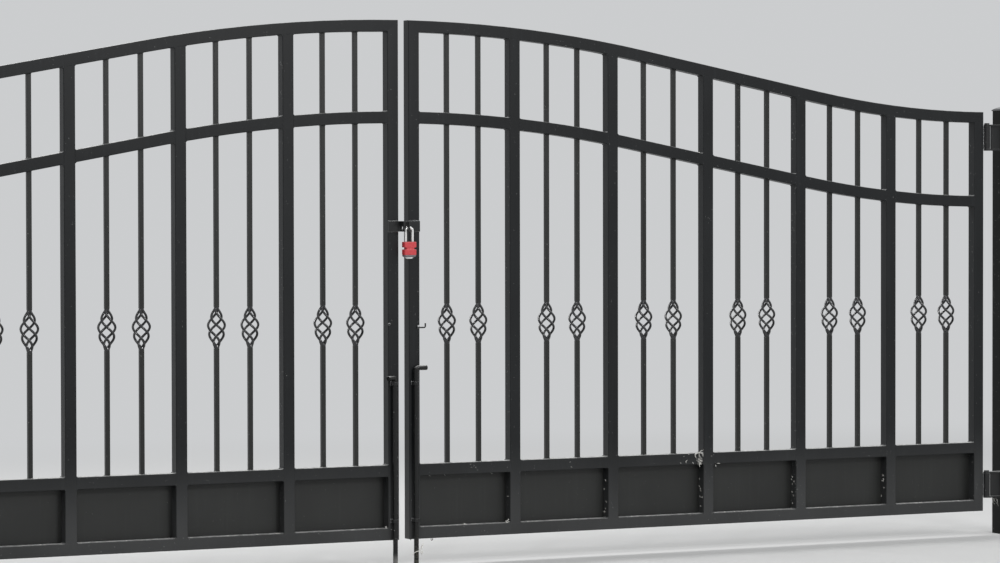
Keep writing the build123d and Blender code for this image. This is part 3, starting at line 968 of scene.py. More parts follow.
def end_of_bar(points: list[Vector], along: int, across: int, far: bool) -> BarEnd:
    """Find the corners of one end of a bar.

    Args:
        points: All points of the bar.
        along: Axis that the bar runs along: 0 for X, 2 for Z.
        across: Axis of its other wide side: 2 for X bars, 0 for Z bars.
        far: Whether the end with the higher value is wanted.

    Returns:
        The corners: low and high across at the front, then high and low across at the back.
    """
    front = min(p.y for p in points)
    back = max(p.y for p in points)
    edge = 1e-4
    if along == 0:
        limit = (max if far else min)(p.x for p in points)
        points = [p for p in points if abs(p.x - limit) < edge]
    corners = []
    low = min(p[across] for p in points)
    high = max(p[across] for p in points)
    for y, value in ((front, low), (front, high), (back, high), (back, low)):
        near = [p for p in points if abs(p.y - y) < edge and abs(p[across] - value) < edge]
        corners.append((max if far else min)(near, key=lambda p: p[along]))
    return BarEnd(*corners)


@dataclass(frozen=True)
class Berth:
    """Where a piece belongs: its body, its material slot in the record and its finish."""

    body: str
    slot: str
    finish: str


class Workshop:
    """Cuts, joins and dresses the pieces, and hangs them on their bodies."""

    def __init__(self, nodes: dict[str, bpy.types.Object]) -> None:
        """Keep the CAD nodes and build what every sub-assembly uses.

        Args:
            nodes: The CAD nodes' objects by name.
        """
        effects = Effects()
        self.nodes = nodes
        self.finish = {role: look.build(effects) for role, look in LOOKS.items()}
        self.welds = WeldTree()
        self.basket = BasketTree()
        self.fibres = FibreTree()

    def form_of(self, node: str) -> Form:
        """Merged copy of a CAD node's mesh, its flat faces made whole."""
        form = bmesh.new()
        form.from_mesh(self.nodes[node].data)
        bmesh.ops.remove_doubles(form, verts=form.verts, dist=MERGE_DISTANCE)
        bmesh.ops.dissolve_limit(form, angle_limit=FLAT_ANGLE, verts=form.verts, edges=form.edges)
        return form

    def dress(self, node: str, finish: str) -> None:
        """Give a CAD node its finish."""
        for slot in self.nodes[node].material_slots:
            slot.material = self.finish[finish]
        LOG.info("node %s wears %s", node, finish)

    def hang(self, name: str, mesh: MeshData, berth: Berth,
             replaces: Sequence[str] = ()) -> None:
        """Turn a mesh into a piece of the gate.

        Args:
            name: Name of the piece.
            mesh: Its mesh, in the model's own place.
            berth: Where it belongs.
            replaces: CAD nodes that it stands for.
        """
        body, slot = berth.body, berth.slot
        piece = bpy.data.objects.new(name, mesh)
        bpy.context.scene.collection.objects.link(piece)
        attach(piece, body)
        if replaces:
            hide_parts(*replaces)
            for node in replaces:
                self.dress(node, berth.finish)
        LOG.info("%s: %d faces on %s", name, len(mesh.polygons), body)

    def make(self, name: str, form: Form, berth: Berth,
             replaces: Sequence[str] = ()) -> None:
        """Hang a smooth piece made from a form, its flat faces kept flat by weighted normals.

        Args:
            name: Name of the piece.
            form: The form, which is freed.
            berth: Where the piece belongs.
            replaces: CAD nodes that it stands for.
        """
        raw = bpy.data.meshes.new(name + "_raw")
        form.to_mesh(raw)
        form.free()
        raw.materials.append(self.finish[berth.finish])
        raw.shade_smooth()
        raw.set_sharp_from_angle(angle=SMOOTH_ANGLE)
        carrier = bpy.data.objects.new(name + "_raw", raw)
        carrier.modifiers.new("even", "WEIGHTED_NORMAL").keep_sharp = True
        self.hang(name, harvest(carrier, name), berth, replaces)

    def grow(self, tree: GrowthTree, name: str, guide: MeshData, berth: Berth,
             replaces: Sequence[str] = (), **sizes: float) -> None:
        """Hang what a geometry tree makes of a guide.

        Args:
            tree: The tree.
            name: Name of the piece.
            guide: Mesh that the tree starts from.
            berth: Where the piece belongs.
            replaces: CAD nodes that it stands for.
            **sizes: Inputs of the tree.
        """
        mesh = tree.grow(name, guide, self.finish[berth.finish], **sizes)
        self.hang(name, mesh, berth, replaces)

    def soften(self, node: str, rule: EdgeRule, width: float, berth: Berth,
               segments: int = 3) -> None:
        """Replace a CAD node by a copy with rounded outer edges.

        Args:
            node: Name of the node.
            rule: Which edges are rounded.
            width: Size of the rounding.
            berth: Where the copy belongs.
            segments: Faces across each rounding.
        """
        form = self.form_of(node)
        edges = [edge for edge in form.edges
                 if edge.is_manifold and edge.calc_face_angle_signed(0.0) > BEVEL_ANGLE
                 and rule.takes((edge.verts[1].co - edge.verts[0].co).normalized())]
        bmesh.ops.bevel(form, geom=edges, offset=width, offset_type="OFFSET", segments=segments,
                        profile=0.5, affect="EDGES", clamp_overlap=True)
        self.make(node + "_rounded", form, berth, [node])

    def ends_of(self, node: str, upright: bool) -> list[BarEnd]:
        """Corners of both ends of every bar in a CAD node.

        Args:
            node: Name of the node.
            upright: Whether its bars stand up, and don't run along X.

        Returns:
            The ends, each bar's lower or left one first.
        """
        form = self.form_of(node)
        along, across = (2, 0) if upright else (0, 2)
        ends = [end_of_bar(part, along, across, far)
                for part in parts_of(form) if self._is_outside(part) for far in (False, True)]
        form.free()
        return ends

    @staticmethod
    def _is_outside(points: list[Vector]) -> bool:
        """Whether a part is a bar's outer skin, and not the closed skin of its bore."""
        depth = (max(p.y for p in points) - min(p.y for p in points)) / MM
        return depth > TUBE_SHARE * PLAN.tube or depth < BAR_SHARE * PLAN.tube

    def bead(self, name: str, lines: list[Line], berth: Berth, closed: bool = False,
             **sizes: float) -> None:
        """Lay weld beads along lines.

        Args:
            name: Name of the piece.
            lines: Points of each bead.
            berth: Where the piece belongs.
            closed: Whether each line is a ring.
            **sizes: Inputs of the weld tree.
        """
        self.grow(self.welds, name, guide_lines(name + "_lines", lines, closed), berth, **sizes)


def skin(form: Form, rings: list[list[bmesh.types.BMVert]]) -> Form:
    """Join rings of points by faces and close the first and the last one.

    Args:
        form: The form that holds the points.
        rings: The rings, each with as many points.

    Returns:
        The form.
    """
    count = len(rings[0])
    for first, second in zip(rings, rings[1:]):
        for k in range(count):
            form.faces.new((first[k], first[(k + 1) % count], second[(k + 1) % count], second[k]))
    form.faces.new(list(reversed(rings[0])))
    form.faces.new(rings[-1])
    return form


def swept(path: Line, radii: Sequence[float], sides: int) -> Form:
    """Round bar along a path, closed at both ends.

    Args:
        path: Points of the path.
        radii: Radius at each point.
        sides: Sides of the section.

    Returns:
        The form.
    """
    form = bmesh.new()
    rings = []
    ahead = (path[1] - path[0]).normalized()
    across = ahead.orthogonal().normalized()
    for index, (point, radius) in enumerate(zip(path, radii)):
        before = path[max(index - 1, 0)]
        after = path[min(index + 1, len(path) - 1)]
        way = (after - before).normalized()
        across = (ahead.rotation_difference(way) @ across).normalized()
        ahead = way
        up = way.cross(across)
        rings.append([form.verts.new(point + radius * (math.cos(a) * across + math.sin(a) * up))
                      for a in (math.tau * k / sides for k in range(sides))])
    skin(form, rings)
    bmesh.ops.recalc_face_normals(form, faces=form.faces)
    return form


def bent_path(corners: Line, bend: float, steps: int = 8) -> Line:
    """Path through corners, each inner one rounded by an arc.

    Args:
        corners: Ends and corners.
        bend: Radius of the arcs.
        steps: Runs in each arc.

    Returns:
        Points of the path.
    """
    path = [corners[0].copy()]
    for before, corner, after in zip(corners, corners[1:], corners[2:]):
        back = (before - corner).normalized()
        on = (after - corner).normalized()
        half = back.angle(on) / 2
        centre = corner + (back + on).normalized() * (bend / math.sin(half))
        start = corner + back * (bend / math.tan(half)) - centre
        end = corner + on * (bend / math.tan(half)) - centre
        axis, angle = start.rotation_difference(end).to_axis_angle()
        path.extend(centre + Matrix.Rotation(angle * step / steps, 3, axis) @ start
                    for step in range(steps + 1))
    path.append(corners[-1].copy())
    return path


def rounded_ends(path: Line, radius: float, edge: float) -> tuple[Line, list[float]]:
    """Add short end stretches to a path, so that a bar along it has eased ends.

    Args:
        path: Points of the bar's path.
        radius: Radius of the bar.
        edge: Size of the easing.

    Returns:
        The longer path, and the radius at each of its points.
    """
    start = (path[1] - path[0]).normalized()
    end = (path[-2] - path[-1]).normalized()
    shares = ((0.0, 0.0), (0.13, 0.5), (0.5, 0.87), (1.0, 1.0))
    first = [path[0] + start * edge * along for along, _ in shares]
    last = [path[-1] + end * edge * along for along, _ in reversed(shares)]
    ends = [radius - edge * (1 - out) for _, out in shares]
    middle = [radius] * (len(path) - 2)
    return first + path[1:-1] + last, ends + middle + list(reversed(ends))


def rounded_slab(levels: Sequence[Level], centre: Vector, steps: int = 5) -> Form:
    """Closed block from rounded rectangles set one above another.

    Args:
        levels: Height, width, depth and corner radius of each rectangle, from the bottom up.
        centre: Middle of the block in plan; its height is added to each level's.
        steps: Runs in each corner.

    Returns:
        The form.
    """
    form = bmesh.new()
    rings = []
    for height, width, depth, corner in levels:
        ring = []
        for quarter in range(4):
            across = (1, -1, -1, 1)[quarter] * (width / 2 - corner)
            along = (1, 1, -1, -1)[quarter] * (depth / 2 - corner)
            for step in range(steps + 1):
                angle = math.pi / 2 * (quarter + step / steps)
                ring.append(form.verts.new(centre + Vector((
                    across + corner * math.cos(angle), along + corner * math.sin(angle), height))))
        rings.append(ring)
    return skin(form, rings)


# Sub-assemblies


@dataclass
class HalfPart:
    """What the sub-assemblies of one half of the gate share."""

    shop: Workshop
    side: Side

    def on_leaf(self, kind: str, finish: str | None = None) -> Berth:
        """Berth on this half's leaf.

        Args:
            kind: Kind of the paint slot, such as frame or hardware.
            finish: The finish, where it isn't named like the slot.

        Returns:
            The berth.
        """
        return Berth(self.side.leaf, f"{kind}_paint", finish or kind)


@dataclass
class GateLeaf(HalfPart):
    """One leaf: tube frame, kick panels, pickets, baskets and all their welds."""

    tube_corner: float = 0.0022
    picket_corner: float = 0.0009
    fillet: float = 0.0024
    seam: float = 0.0026
    seam_sunk: float = 0.00235
    ring: float = 0.0016
    stitch: float = 0.0021
    stitch_mm: float = 22.0
    stitch_gap_mm: float = 88.0
    stitch_sunk_mm: float = 0.6
    basket_reach: float = 0.08

    def build(self) -> None:
        """Build and dress the whole leaf."""
        for name in ("top_rail", "middle_rail", "lower_rail", "bottom_rail", "meeting_stile",
                     "hinge_stile", "uprights"):
            rule = EdgeRule.ALONG if name.endswith("rail") else EdgeRule.UPRIGHT
            self.shop.soften(self.side.node(name), rule, self.tube_corner, self.on_leaf("frame"))
        self.panels()
        self.shop.soften(self.side.node("pickets"), EdgeRule.UPRIGHT, self.picket_corner,
                         self.on_leaf("picket"), segments=2)
        self.baskets()
        self.frame_welds()
        self.picket_welds()

    def panels(self) -> None:
        """Paint the kick panels and stitch them to the frame behind."""
        self.shop.dress(self.side.node("kick_panels"), "panel")
        lines = []
        way = self.side.outward
        y = PLAN.back - self.stitch_sunk_mm
        parts = (-self.stitch_mm / 2, 0, self.stitch_mm / 2)
        for index in range(PLAN.bays):
            low, high = PLAN.bay_sides(index)
            count = round((high - low) / self.stitch_gap_mm)
            for number in range(count):
                x = low + (high - low) * (number + 0.5) / count
                for z in (PLAN.tube, PLAN.kick_height - PLAN.tube):
                    lines.append([PLAN.place(way * (x + part), y, z) for part in parts])
            for x in (low, high):
                for share in (0.3, 0.7):
                    z = PLAN.tube + share * (PLAN.kick_height - 2 * PLAN.tube)
                    lines.append([PLAN.place(way * x, y, z + part) for part in parts])
        self.shop.bead(self.side.node("panel_stitches"), lines, self.on_leaf("panel"),
                       Radius=self.stitch)

    def baskets(self) -> None:
        """Grow the twisted baskets where the CAD ones are."""
        name = self.side.node("baskets")
        form = self.shop.form_of(name)
        height = PLAN.place(0, 0, PLAN.basket_centre).z
        middles = sorted({round((min(p.x for p in part) + max(p.x for p in part)) / 2, 4)
                          for part in parts_of(form)})
        form.free()
        guide = bpy.data.meshes.new(name + "_points")
        guide.from_pydata([Vector((x, 0, height)) for x in middles], [], [])
        self.shop.grow(self.shop.basket, name + "_twisted", guide,
                       self.on_leaf("picket", "basket"), [name])

    def frame_welds(self) -> None:
        """Fillets in the corners of the frame, and flat seams sunk so that only a crest shows."""
        fillets: list[Line] = []
        seams: list[Line] = []
        for name in ("middle_rail", "lower_rail", "bottom_rail", "uprights"):
            for end in self.shop.ends_of(self.side.node(name), upright=name == "uprights"):
                if name != "bottom_rail":
                    fillets.append([end.front_first, end.back_first])
                fillets.append([end.front_second, end.back_second])
                seams.append([end.front_first, end.front_second])
                seams.append([end.back_second, end.back_first])
        sunk = [[point + Vector((0, math.copysign(self.seam_sunk, -point.y), 0))
                 for point in line] for line in seams]
        berth = self.on_leaf("frame")
        self.shop.bead(self.side.node("corner_fillets"), fillets, berth, Radius=self.fillet)
        self.shop.bead(self.side.node("flush_seams"), sunk, berth, Radius=self.seam,
                       Wander=0.0002, Ripple=0.04)

    def picket_welds(self) -> None:
        """A small ring where each square bar meets a rail; the basket ends are dressed smooth."""
        middle = PLAN.place(0, 0, PLAN.basket_centre).z
        rings = [end.ring for end in self.shop.ends_of(self.side.node("pickets"), upright=True)
                 if abs(end.front_first.z - middle) > self.basket_reach]
        self.shop.bead(self.side.node("picket_rings"), rings, self.on_leaf("picket"), closed=True,
                       Radius=self.ring, Step=0.0021, Wander=0.0004)


@dataclass
class HingePost(HalfPart):
    """A post with its cap, its brackets and the barrels on the leaf beside it."""

    corner: float = 0.004
    cap_side_mm: float = 107.6
    cap_rim_mm: float = 2.5
    cap_rise_mm: float = 17.0
    cap_corner_mm: float = 4.0
    cap_rounding: float = 0.9
    cap_ease_mm: float = 0.6
    cap_levels: int = 16
    cap_flat_angle: float = math.radians(84)
    post_rise_mm: float = 6.0
    small_edge: float = 0.0007
    bead: float = 0.003
    hinge_bottoms_mm: tuple[float, float] = (46.0, 1270.0)
    hinge_height_mm: float = 92.0
    plate_mm: float = 6.0
    strap_mm: float = 10.0
    barrel_mm: float = 23.0
    running_gap_mm: float = 0.3
    weld_out_mm: float = 0.4

    def build(self) -> None:
        """Build the post, its hinges and their welds."""
        self.shop.soften(self.side.node("post"), EdgeRule.UPRIGHT, self.corner,
                         Berth("posts", "post_paint", "post"), segments=4)
        self.cap()
        bracket = Berth("posts", "hardware_paint", "hardware")
        for name, berth in (("lower_hinge_bracket", bracket), ("upper_hinge_bracket", bracket),
                            ("hinge_barrels", self.on_leaf("hardware"))):
            self.shop.soften(self.side.node(name), EdgeRule.ALL, self.small_edge, berth,
                             segments=2)
        self.welds()

    def cap(self) -> None:
        """Pressed cap: a low dome on a thin rim that stands out round the post."""
        side, ease = self.cap_side_mm, self.cap_ease_mm
        rings = [(0.0, side - 2 * ease, self.cap_corner_mm), (ease, side, self.cap_corner_mm)]
        for number in range(self.cap_levels + 1):
            angle = self.cap_flat_angle * number / self.cap_levels
            width = side * math.cos(angle)
            full = self.cap_rounding * width / 2
            corner = self.cap_corner_mm + (full - self.cap_corner_mm) * math.sin(angle)
            rings.append((self.cap_rim_mm + self.cap_rise_mm * math.sin(angle), width, corner))
        levels = [(z * MM, width * MM, width * MM, corner * MM) for z, width, corner in rings]
        middle = PLAN.place(self.side.outward * PLAN.post_centre, 0,
                            PLAN.leaf_end + self.post_rise_mm)
        name = self.side.node("post_cap")
        # its finish paints the sky's reflection on the dome
        self.shop.make(name + "_dome", rounded_slab(levels, middle, steps=8),
                       Berth("posts", "post_paint", "cap"), [name])

    def welds(self) -> None:
        """Beads that hold the straps to the stile and the brackets to the post."""
        straps: list[Line] = []
        brackets: list[Line] = []
        stile = self.side.outward * (PLAN.leaf_outer + self.weld_out_mm)
        post = self.side.outward * (PLAN.post_face - self.weld_out_mm)
        half = self.barrel_mm / 2
        for bottom in self.hinge_bottoms_mm:
            top = bottom + self.hinge_height_mm
            low = bottom + self.plate_mm + self.running_gap_mm
            high = top - self.plate_mm - self.running_gap_mm
            for y in (PLAN.front + 0.6, PLAN.front + self.strap_mm):
                straps.append([PLAN.place(stile, y, z)
                               for z in (low + 1, (low + high) / 2, high - 1)])
            for y in (-self.plate_mm / 2, self.plate_mm / 2):
                brackets.append([PLAN.place(post, PLAN.front + y, z)
                                 for z in (bottom + 7, (bottom + top) / 2, top - 7)])
            for z in (bottom, top):
                brackets.append([PLAN.place(post, PLAN.front + y, z)
                                 for y in (-half + 2, 0, half - 2)])
        for name, lines, body in (("strap_welds", straps, self.side.leaf),
                                  ("bracket_welds", brackets, "posts")):
            # the weld finish paints dotted glints along these beads
            self.shop.bead(self.side.node(name), lines, Berth(body, "hardware_paint", "weld_and_glints"),
                           Radius=self.bead, Ripple=0.3)


@dataclass
class RodAndLock(HalfPart):
    """A drop rod with its guides and hook, and the lock tab above them.

    Pairs of sizes hold the right half's first and the left half's second.
    """

    rod_mm: float = 15.9
    rod_y_mm: float = -30.05
    rod_foot_mm: float = -82.0
    rod_bend_mm: float = 9.5
    rod_ease: float = 0.0014
    rod_sides: int = 28
    handle_mm: float = 39.0
    handle_heights_mm: tuple[float, float] = (556.0, 524.0)
    left_handle_turn: float = math.radians(60)
    hook_mm: float = 5.0
    hook_centres_mm: tuple[float, float] = (686.0, 698.0)
    hook_bend: float = 0.005
    hook_ease: float = 0.0007
    hook_sides: int = 16
    hook_reach_mm: float = 19.0
    hook_tip_mm: float = 14.0
    hook_root_mm: float = 10.0
    hook_inset_mm: float = 3.5
    hook_weld_mm: float = 3.0
    guide_bottoms_mm: tuple[float, float] = (57.0, 501.0)
    guide_height_mm: float = 10.0
    guide_half_mm: float = 11.0
    tab_bottom_mm: float = 997.0
    tab_height_mm: float = 34.0
    small_edge: float = 0.0007

    def build(self) -> None:
        """Build the rod, its guides and hook, and the tab."""
        self.rod()
        self.hook()
        for name in ("rod_guides", "lock_tab"):
            self.shop.soften(self.side.node(name), EdgeRule.ALL, self.small_edge,
                             self.on_leaf("hardware"), segments=2)
        self.welds()
        self.painted_glints()

    def own(self, pair: tuple[float, float]) -> float:
        """This half's size out of a pair."""
        return pair[0 if self.side is Side.RIGHT else 1]

    def rod(self) -> None:
        """Round rod with an L handle, eased at both ends."""
        x, y = self.side.outward * PLAN.stile_centre, self.rod_y_mm
        top = self.own(self.handle_heights_mm)
        turn = self.left_handle_turn
        way = (Vector((1, 0)) if self.side is Side.RIGHT
               else Vector((-math.sin(turn), -math.cos(turn))))
        tip = Vector((x, y)) + self.handle_mm * way
        corners = [PLAN.place(x, y, self.rod_foot_mm), PLAN.place(x, y, top),
                   PLAN.place(tip.x, tip.y, top)]
        path, radii = rounded_ends(bent_path(corners, self.rod_bend_mm * MM),
                                   self.rod_mm / 2 * MM, self.rod_ease)
        name = self.side.node("drop_rod")
        self.shop.make(name + "_worn", swept(path, radii, self.rod_sides),
                       Berth(self.side.rod, "hardware_paint", self.side.rod), [name])

    def hook(self) -> None:
        """Wire hook that holds the raised handle."""
        if self.side is Side.RIGHT:
            y = PLAN.front - self.hook_mm / 2
            start = (PLAN.stile_edge - self.hook_root_mm, y)
            elbow = (PLAN.stile_edge + self.hook_reach_mm, y)
        else:
            x = -(PLAN.stile_edge - self.hook_inset_mm)
            start = (x, PLAN.front)
            elbow = (x, PLAN.front - self.hook_reach_mm)
        z = self.own(self.hook_centres_mm)
        corners = [PLAN.place(*start, z), PLAN.place(*elbow, z),
                   PLAN.place(*elbow, z + self.hook_tip_mm)]
        path, radii = rounded_ends(bent_path(corners, self.hook_bend), self.hook_mm / 2 * MM,
                                   self.hook_ease)
        name = self.side.node("rod_hook")
        self.shop.make(name + "_wire", swept(path, radii, self.hook_sides),
                       self.on_leaf("hardware"), [name])

    def welds(self) -> None:
        """Beads at the guides, the hook's root and the tab's plate."""
        way = self.side.outward
        middle = way * PLAN.stile_centre
        half, tall = self.guide_half_mm, self.guide_height_mm
        lines: list[Line] = []
        for bottom in self.guide_bottoms_mm:
            for x in (-half, half):
                lines.append([PLAN.place(middle + x, PLAN.front, bottom + z)
                              for z in (0, tall / 2, tall)])
            for z in (bottom, bottom + tall):
                lines.append([PLAN.place(middle + x, PLAN.front, z) for x in (-half, 0, half)])
        inner = way * (PLAN.leaf_inner + 1.5)
        outer = way * (PLAN.stile_edge - 0.5)
        for z in (self.tab_bottom_mm, self.tab_bottom_mm + self.tab_height_mm):
            lines.append([PLAN.place(x, PLAN.front, z)
                          for x in (inner, (inner + outer) / 2, outer)])
        edge, height = PLAN.stile_edge, self.own(self.hook_centres_mm)
        if self.side is Side.RIGHT:
            lines.append([PLAN.place(edge + x, PLAN.front - 0.6, height - 2.4)
                          for x in (-10, -6, -2)])
            # the blob's pale finish paints a glint on the hook's root weld
            blob = [PLAN.place(edge + x, PLAN.front - 1.0, height + 4.6)
                    for x in (-8, -4.5, -1)]
            self.shop.bead("right_hook_root_weld", [blob], self.on_leaf("hardware", "painted_glint"),
                           Radius=0.0036, Ripple=0.25)
        else:
            x = -(edge - self.hook_inset_mm)
            lines.append([PLAN.place(x + self.hook_weld_mm * math.cos(a), PLAN.front,
                                     height + self.hook_weld_mm * math.sin(a))
                          for a in (math.tau * k / 8 for k in range(9))])
        # their weld finish paints dotted glints along the beads
        self.shop.bead(self.side.node("hardware_welds"), lines, self.on_leaf("hardware", "weld_and_glints"),
                       Radius=0.0024, Ripple=0.25)

    def painted_glints(self) -> None:
        """Painted glints: small pale spots of weld on the tops of the guides' plates."""
        middle = self.side.outward * PLAN.stile_centre
        lines = [[PLAN.place(middle + x + part, PLAN.front - 0.8,
                             bottom + self.guide_height_mm + 0.8) for part in (-1, 0, 1)]
                 for bottom in self.guide_bottoms_mm
                 for x in (-self.guide_half_mm, self.guide_half_mm - 2)]
        self.shop.bead(self.side.node("weld_painted_glints"), lines, self.on_leaf("hardware", "painted_glint"),
                       Radius=0.0015, Ripple=0.2)


@dataclass
class Padlock:
    """Red padlock in two bands, with a grey foot, a plated lip and a steel shackle.

    The tables' rows give a height, what the width and the depth lose there, and the corner.
    """

    shop: Workshop
    centre_mm: tuple[float, float, float] = (8.0, -42.85, 998.3)
    width: float = 0.043
    depth: float = 0.024
    height: float = 0.043
    waist: float = 0.0075
    waist_half: float = 0.0031
    foot: float = 0.012
    shackle: float = 0.0075
    shackle_width: float = 0.032
    drop: float = 0.034
    sides: int = 22

    BASE = ((0.0, 0.003, 0.003, 0.004), (0.0004, 0.0013, 0.0013, 0.004),
            (0.0013, 0.0003, 0.0003, 0.004), (0.0022, 0.0, 0.0, 0.004))
    BAND_EDGE = ((-0.0016, 0.0, 0.0, 0.004), (-0.0006, 0.0007, 0.0003, 0.004),
                 (0.0, 0.0030, 0.0008, 0.004))
    TOP = ((-0.0026, 0.0, 0.0, 0.004), (-0.0014, 0.0004, 0.0004, 0.004),
           (-0.0004, 0.0017, 0.0017, 0.004), (0.0, 0.0040, 0.0040, 0.0035))
    FOOT = ((-0.0072, 0.014, 0.006, 0.0045), (-0.0066, 0.0095, 0.0036, 0.0045),
            (-0.0050, 0.0046, 0.0018, 0.004), (-0.0030, 0.0016, 0.0010, 0.004),
            (-0.0008, 0.0010, 0.0010, 0.004), (0.0, 0.0020, 0.0020, 0.004))

    def build(self) -> None:
        """Build the block, its foot, the lip under it and the shackle."""
        self.body()
        self.bumper()
        self.bow()

    @property
    def centre(self) -> Vector:
        """Middle of the shackle's bow."""
        return PLAN.place(*self.centre_mm)

    @property
    def top(self) -> Vector:
        """Middle of the block's top."""
        return self.centre - Vector((0, 0, self.drop))

    def hang(self, name: str, form: Form, slot: str, finish: str,
             *replaces: str) -> None:
        """Hang a piece of the padlock on the right leaf.

        Args:
            name: Name of the piece, without padlock.
            form: Its form.
            slot: Its material slot, without padlock.
            finish: Its finish.
            *replaces: CAD nodes that it stands for.
        """
        self.shop.make(f"padlock_{name}", form, Berth("right_leaf", f"padlock_{slot}", finish),
                       replaces)

    def body(self) -> None:
        """Block with eased edges and a deep notch at both sides between its bands."""
        middle, half = self.height / 2, self.waist_half
        notch = (*self.BAND_EDGE, (0.0003, 2 * self.waist - 0.0016, 0.0016, 0.0035),
                 (0.0012, 2 * self.waist, 0.0019, 0.0032))
        rows = [(-self.height + z, *rest) for z, *rest in self.BASE]
        rows += [(-middle - half + z, *rest) for z, *rest in notch]
        rows += [(-middle + half - z, *rest) for z, *rest in reversed(notch)]
        form = rounded_slab(self.levels((*rows, *self.TOP)), self.top)
        self.hang("banded_body", form, "red", "red", "padlock_body")

    def levels(self, rows: Iterable[Sequence[float]]) -> list[Level]:
        """Levels of a block from rows of a table."""
        return [(z, self.width - narrower, self.depth - thinner, corner)
                for z, narrower, thinner, corner in rows]

    def bumper(self) -> None:
        """Grey foot that draws in to a plated lip."""
        low = self.top - Vector((0, 0, self.height))
        form = rounded_slab(self.levels(self.FOOT), low)
        self.hang("grey_foot", form, "grey", "grey", "padlock_bumper")
        lip = [(-self.foot, 0.0125, 0.0085, 0.0040), (-self.foot + 0.0005, 0.0165, 0.0115, 0.0050),
               (-self.foot + 0.0018, 0.0215, 0.0145, 0.0060), (-0.0084, 0.0248, 0.0165, 0.0064),
               (-0.0068, 0.0260, 0.0172, 0.0066)]
        self.hang("plated_lip", rounded_slab(lip, low), "steel", "lip")

    def bow(self) -> None:
        """U of bright round bar, with a small collar at each leg's foot."""
        radius = (self.shackle_width - self.shackle) / 2
        legs = (-self.drop - 0.001, -self.drop / 2)
        path = [self.centre + Vector((-radius, 0, z)) for z in legs]
        path += [self.centre + radius * Vector((-math.cos(a), 0, math.sin(a)))
                 for a in (math.pi * k / 20 for k in range(21))]
        path += [self.centre + Vector((radius, 0, z)) for z in reversed(legs)]
        form = swept(path, [self.shackle / 2] * len(path), self.sides)
        self.hang("bright_shackle", form, "steel", "steel", "padlock_shackle")
        for name, way in (("left", -1), ("right", 1)):
            middle = self.centre + Vector((way * radius, 0, -self.drop))
            collar = [middle + Vector((0, 0, z)) for z in (-0.0006, 0.0002, 0.0007)]
            self.hang(f"{name}_collar", swept(collar, [0.0049, 0.0049, 0.0042], self.sides),
                      "grey", "grey")


@dataclass(frozen=True)
class Wisp:
    """A loose curl of fibre through points in millimetres, on loops of a given radius."""

    points: tuple[tuple[float, float, float], ...]
    loop: float = 0.0
    turns: float = 1.0

    @classmethod
    def flat(cls, y: float, loop: float, *points: tuple[float, float]) -> Wisp:
        """Wisp through points of one upright plane.

        Args:
            y: Y of the plane.
            loop: Radius of the loops.
            *points: X and Z of each point.

        Returns:
            The wisp.
        """
        return cls(tuple((x, y, z) for x, z in points), loop)

    def line(self, chance: random.Random) -> Line:
        """Points of the fibre, its loops turned by chance.

        Args:
            chance: Seeded source of random numbers.

        Returns:
            The points, in the model's own place.
        """
        corners = [Vector(point) for point in self.points]
        runs = len(corners) - 1
        steps = max(4, round(9 * self.turns)) * runs
        phase = chance.uniform(0, math.tau)
        ahead = (corners[-1] - corners[0]).normalized()
        across = ahead.orthogonal().normalized()
        upward = ahead.cross(across)
        line = []
        for step in range(steps + 1):
            share = step / steps
            run = min(int(share * runs), runs - 1)
            point = corners[run].lerp(corners[run + 1], share * runs - run)
            angle = phase + math.tau * self.turns * share
            size = self.loop * math.sin(math.pi * share)
            line.append(PLAN.place(*(point + size * (math.cos(angle) * across
                                                     + math.sin(angle) * upward))))
        return line


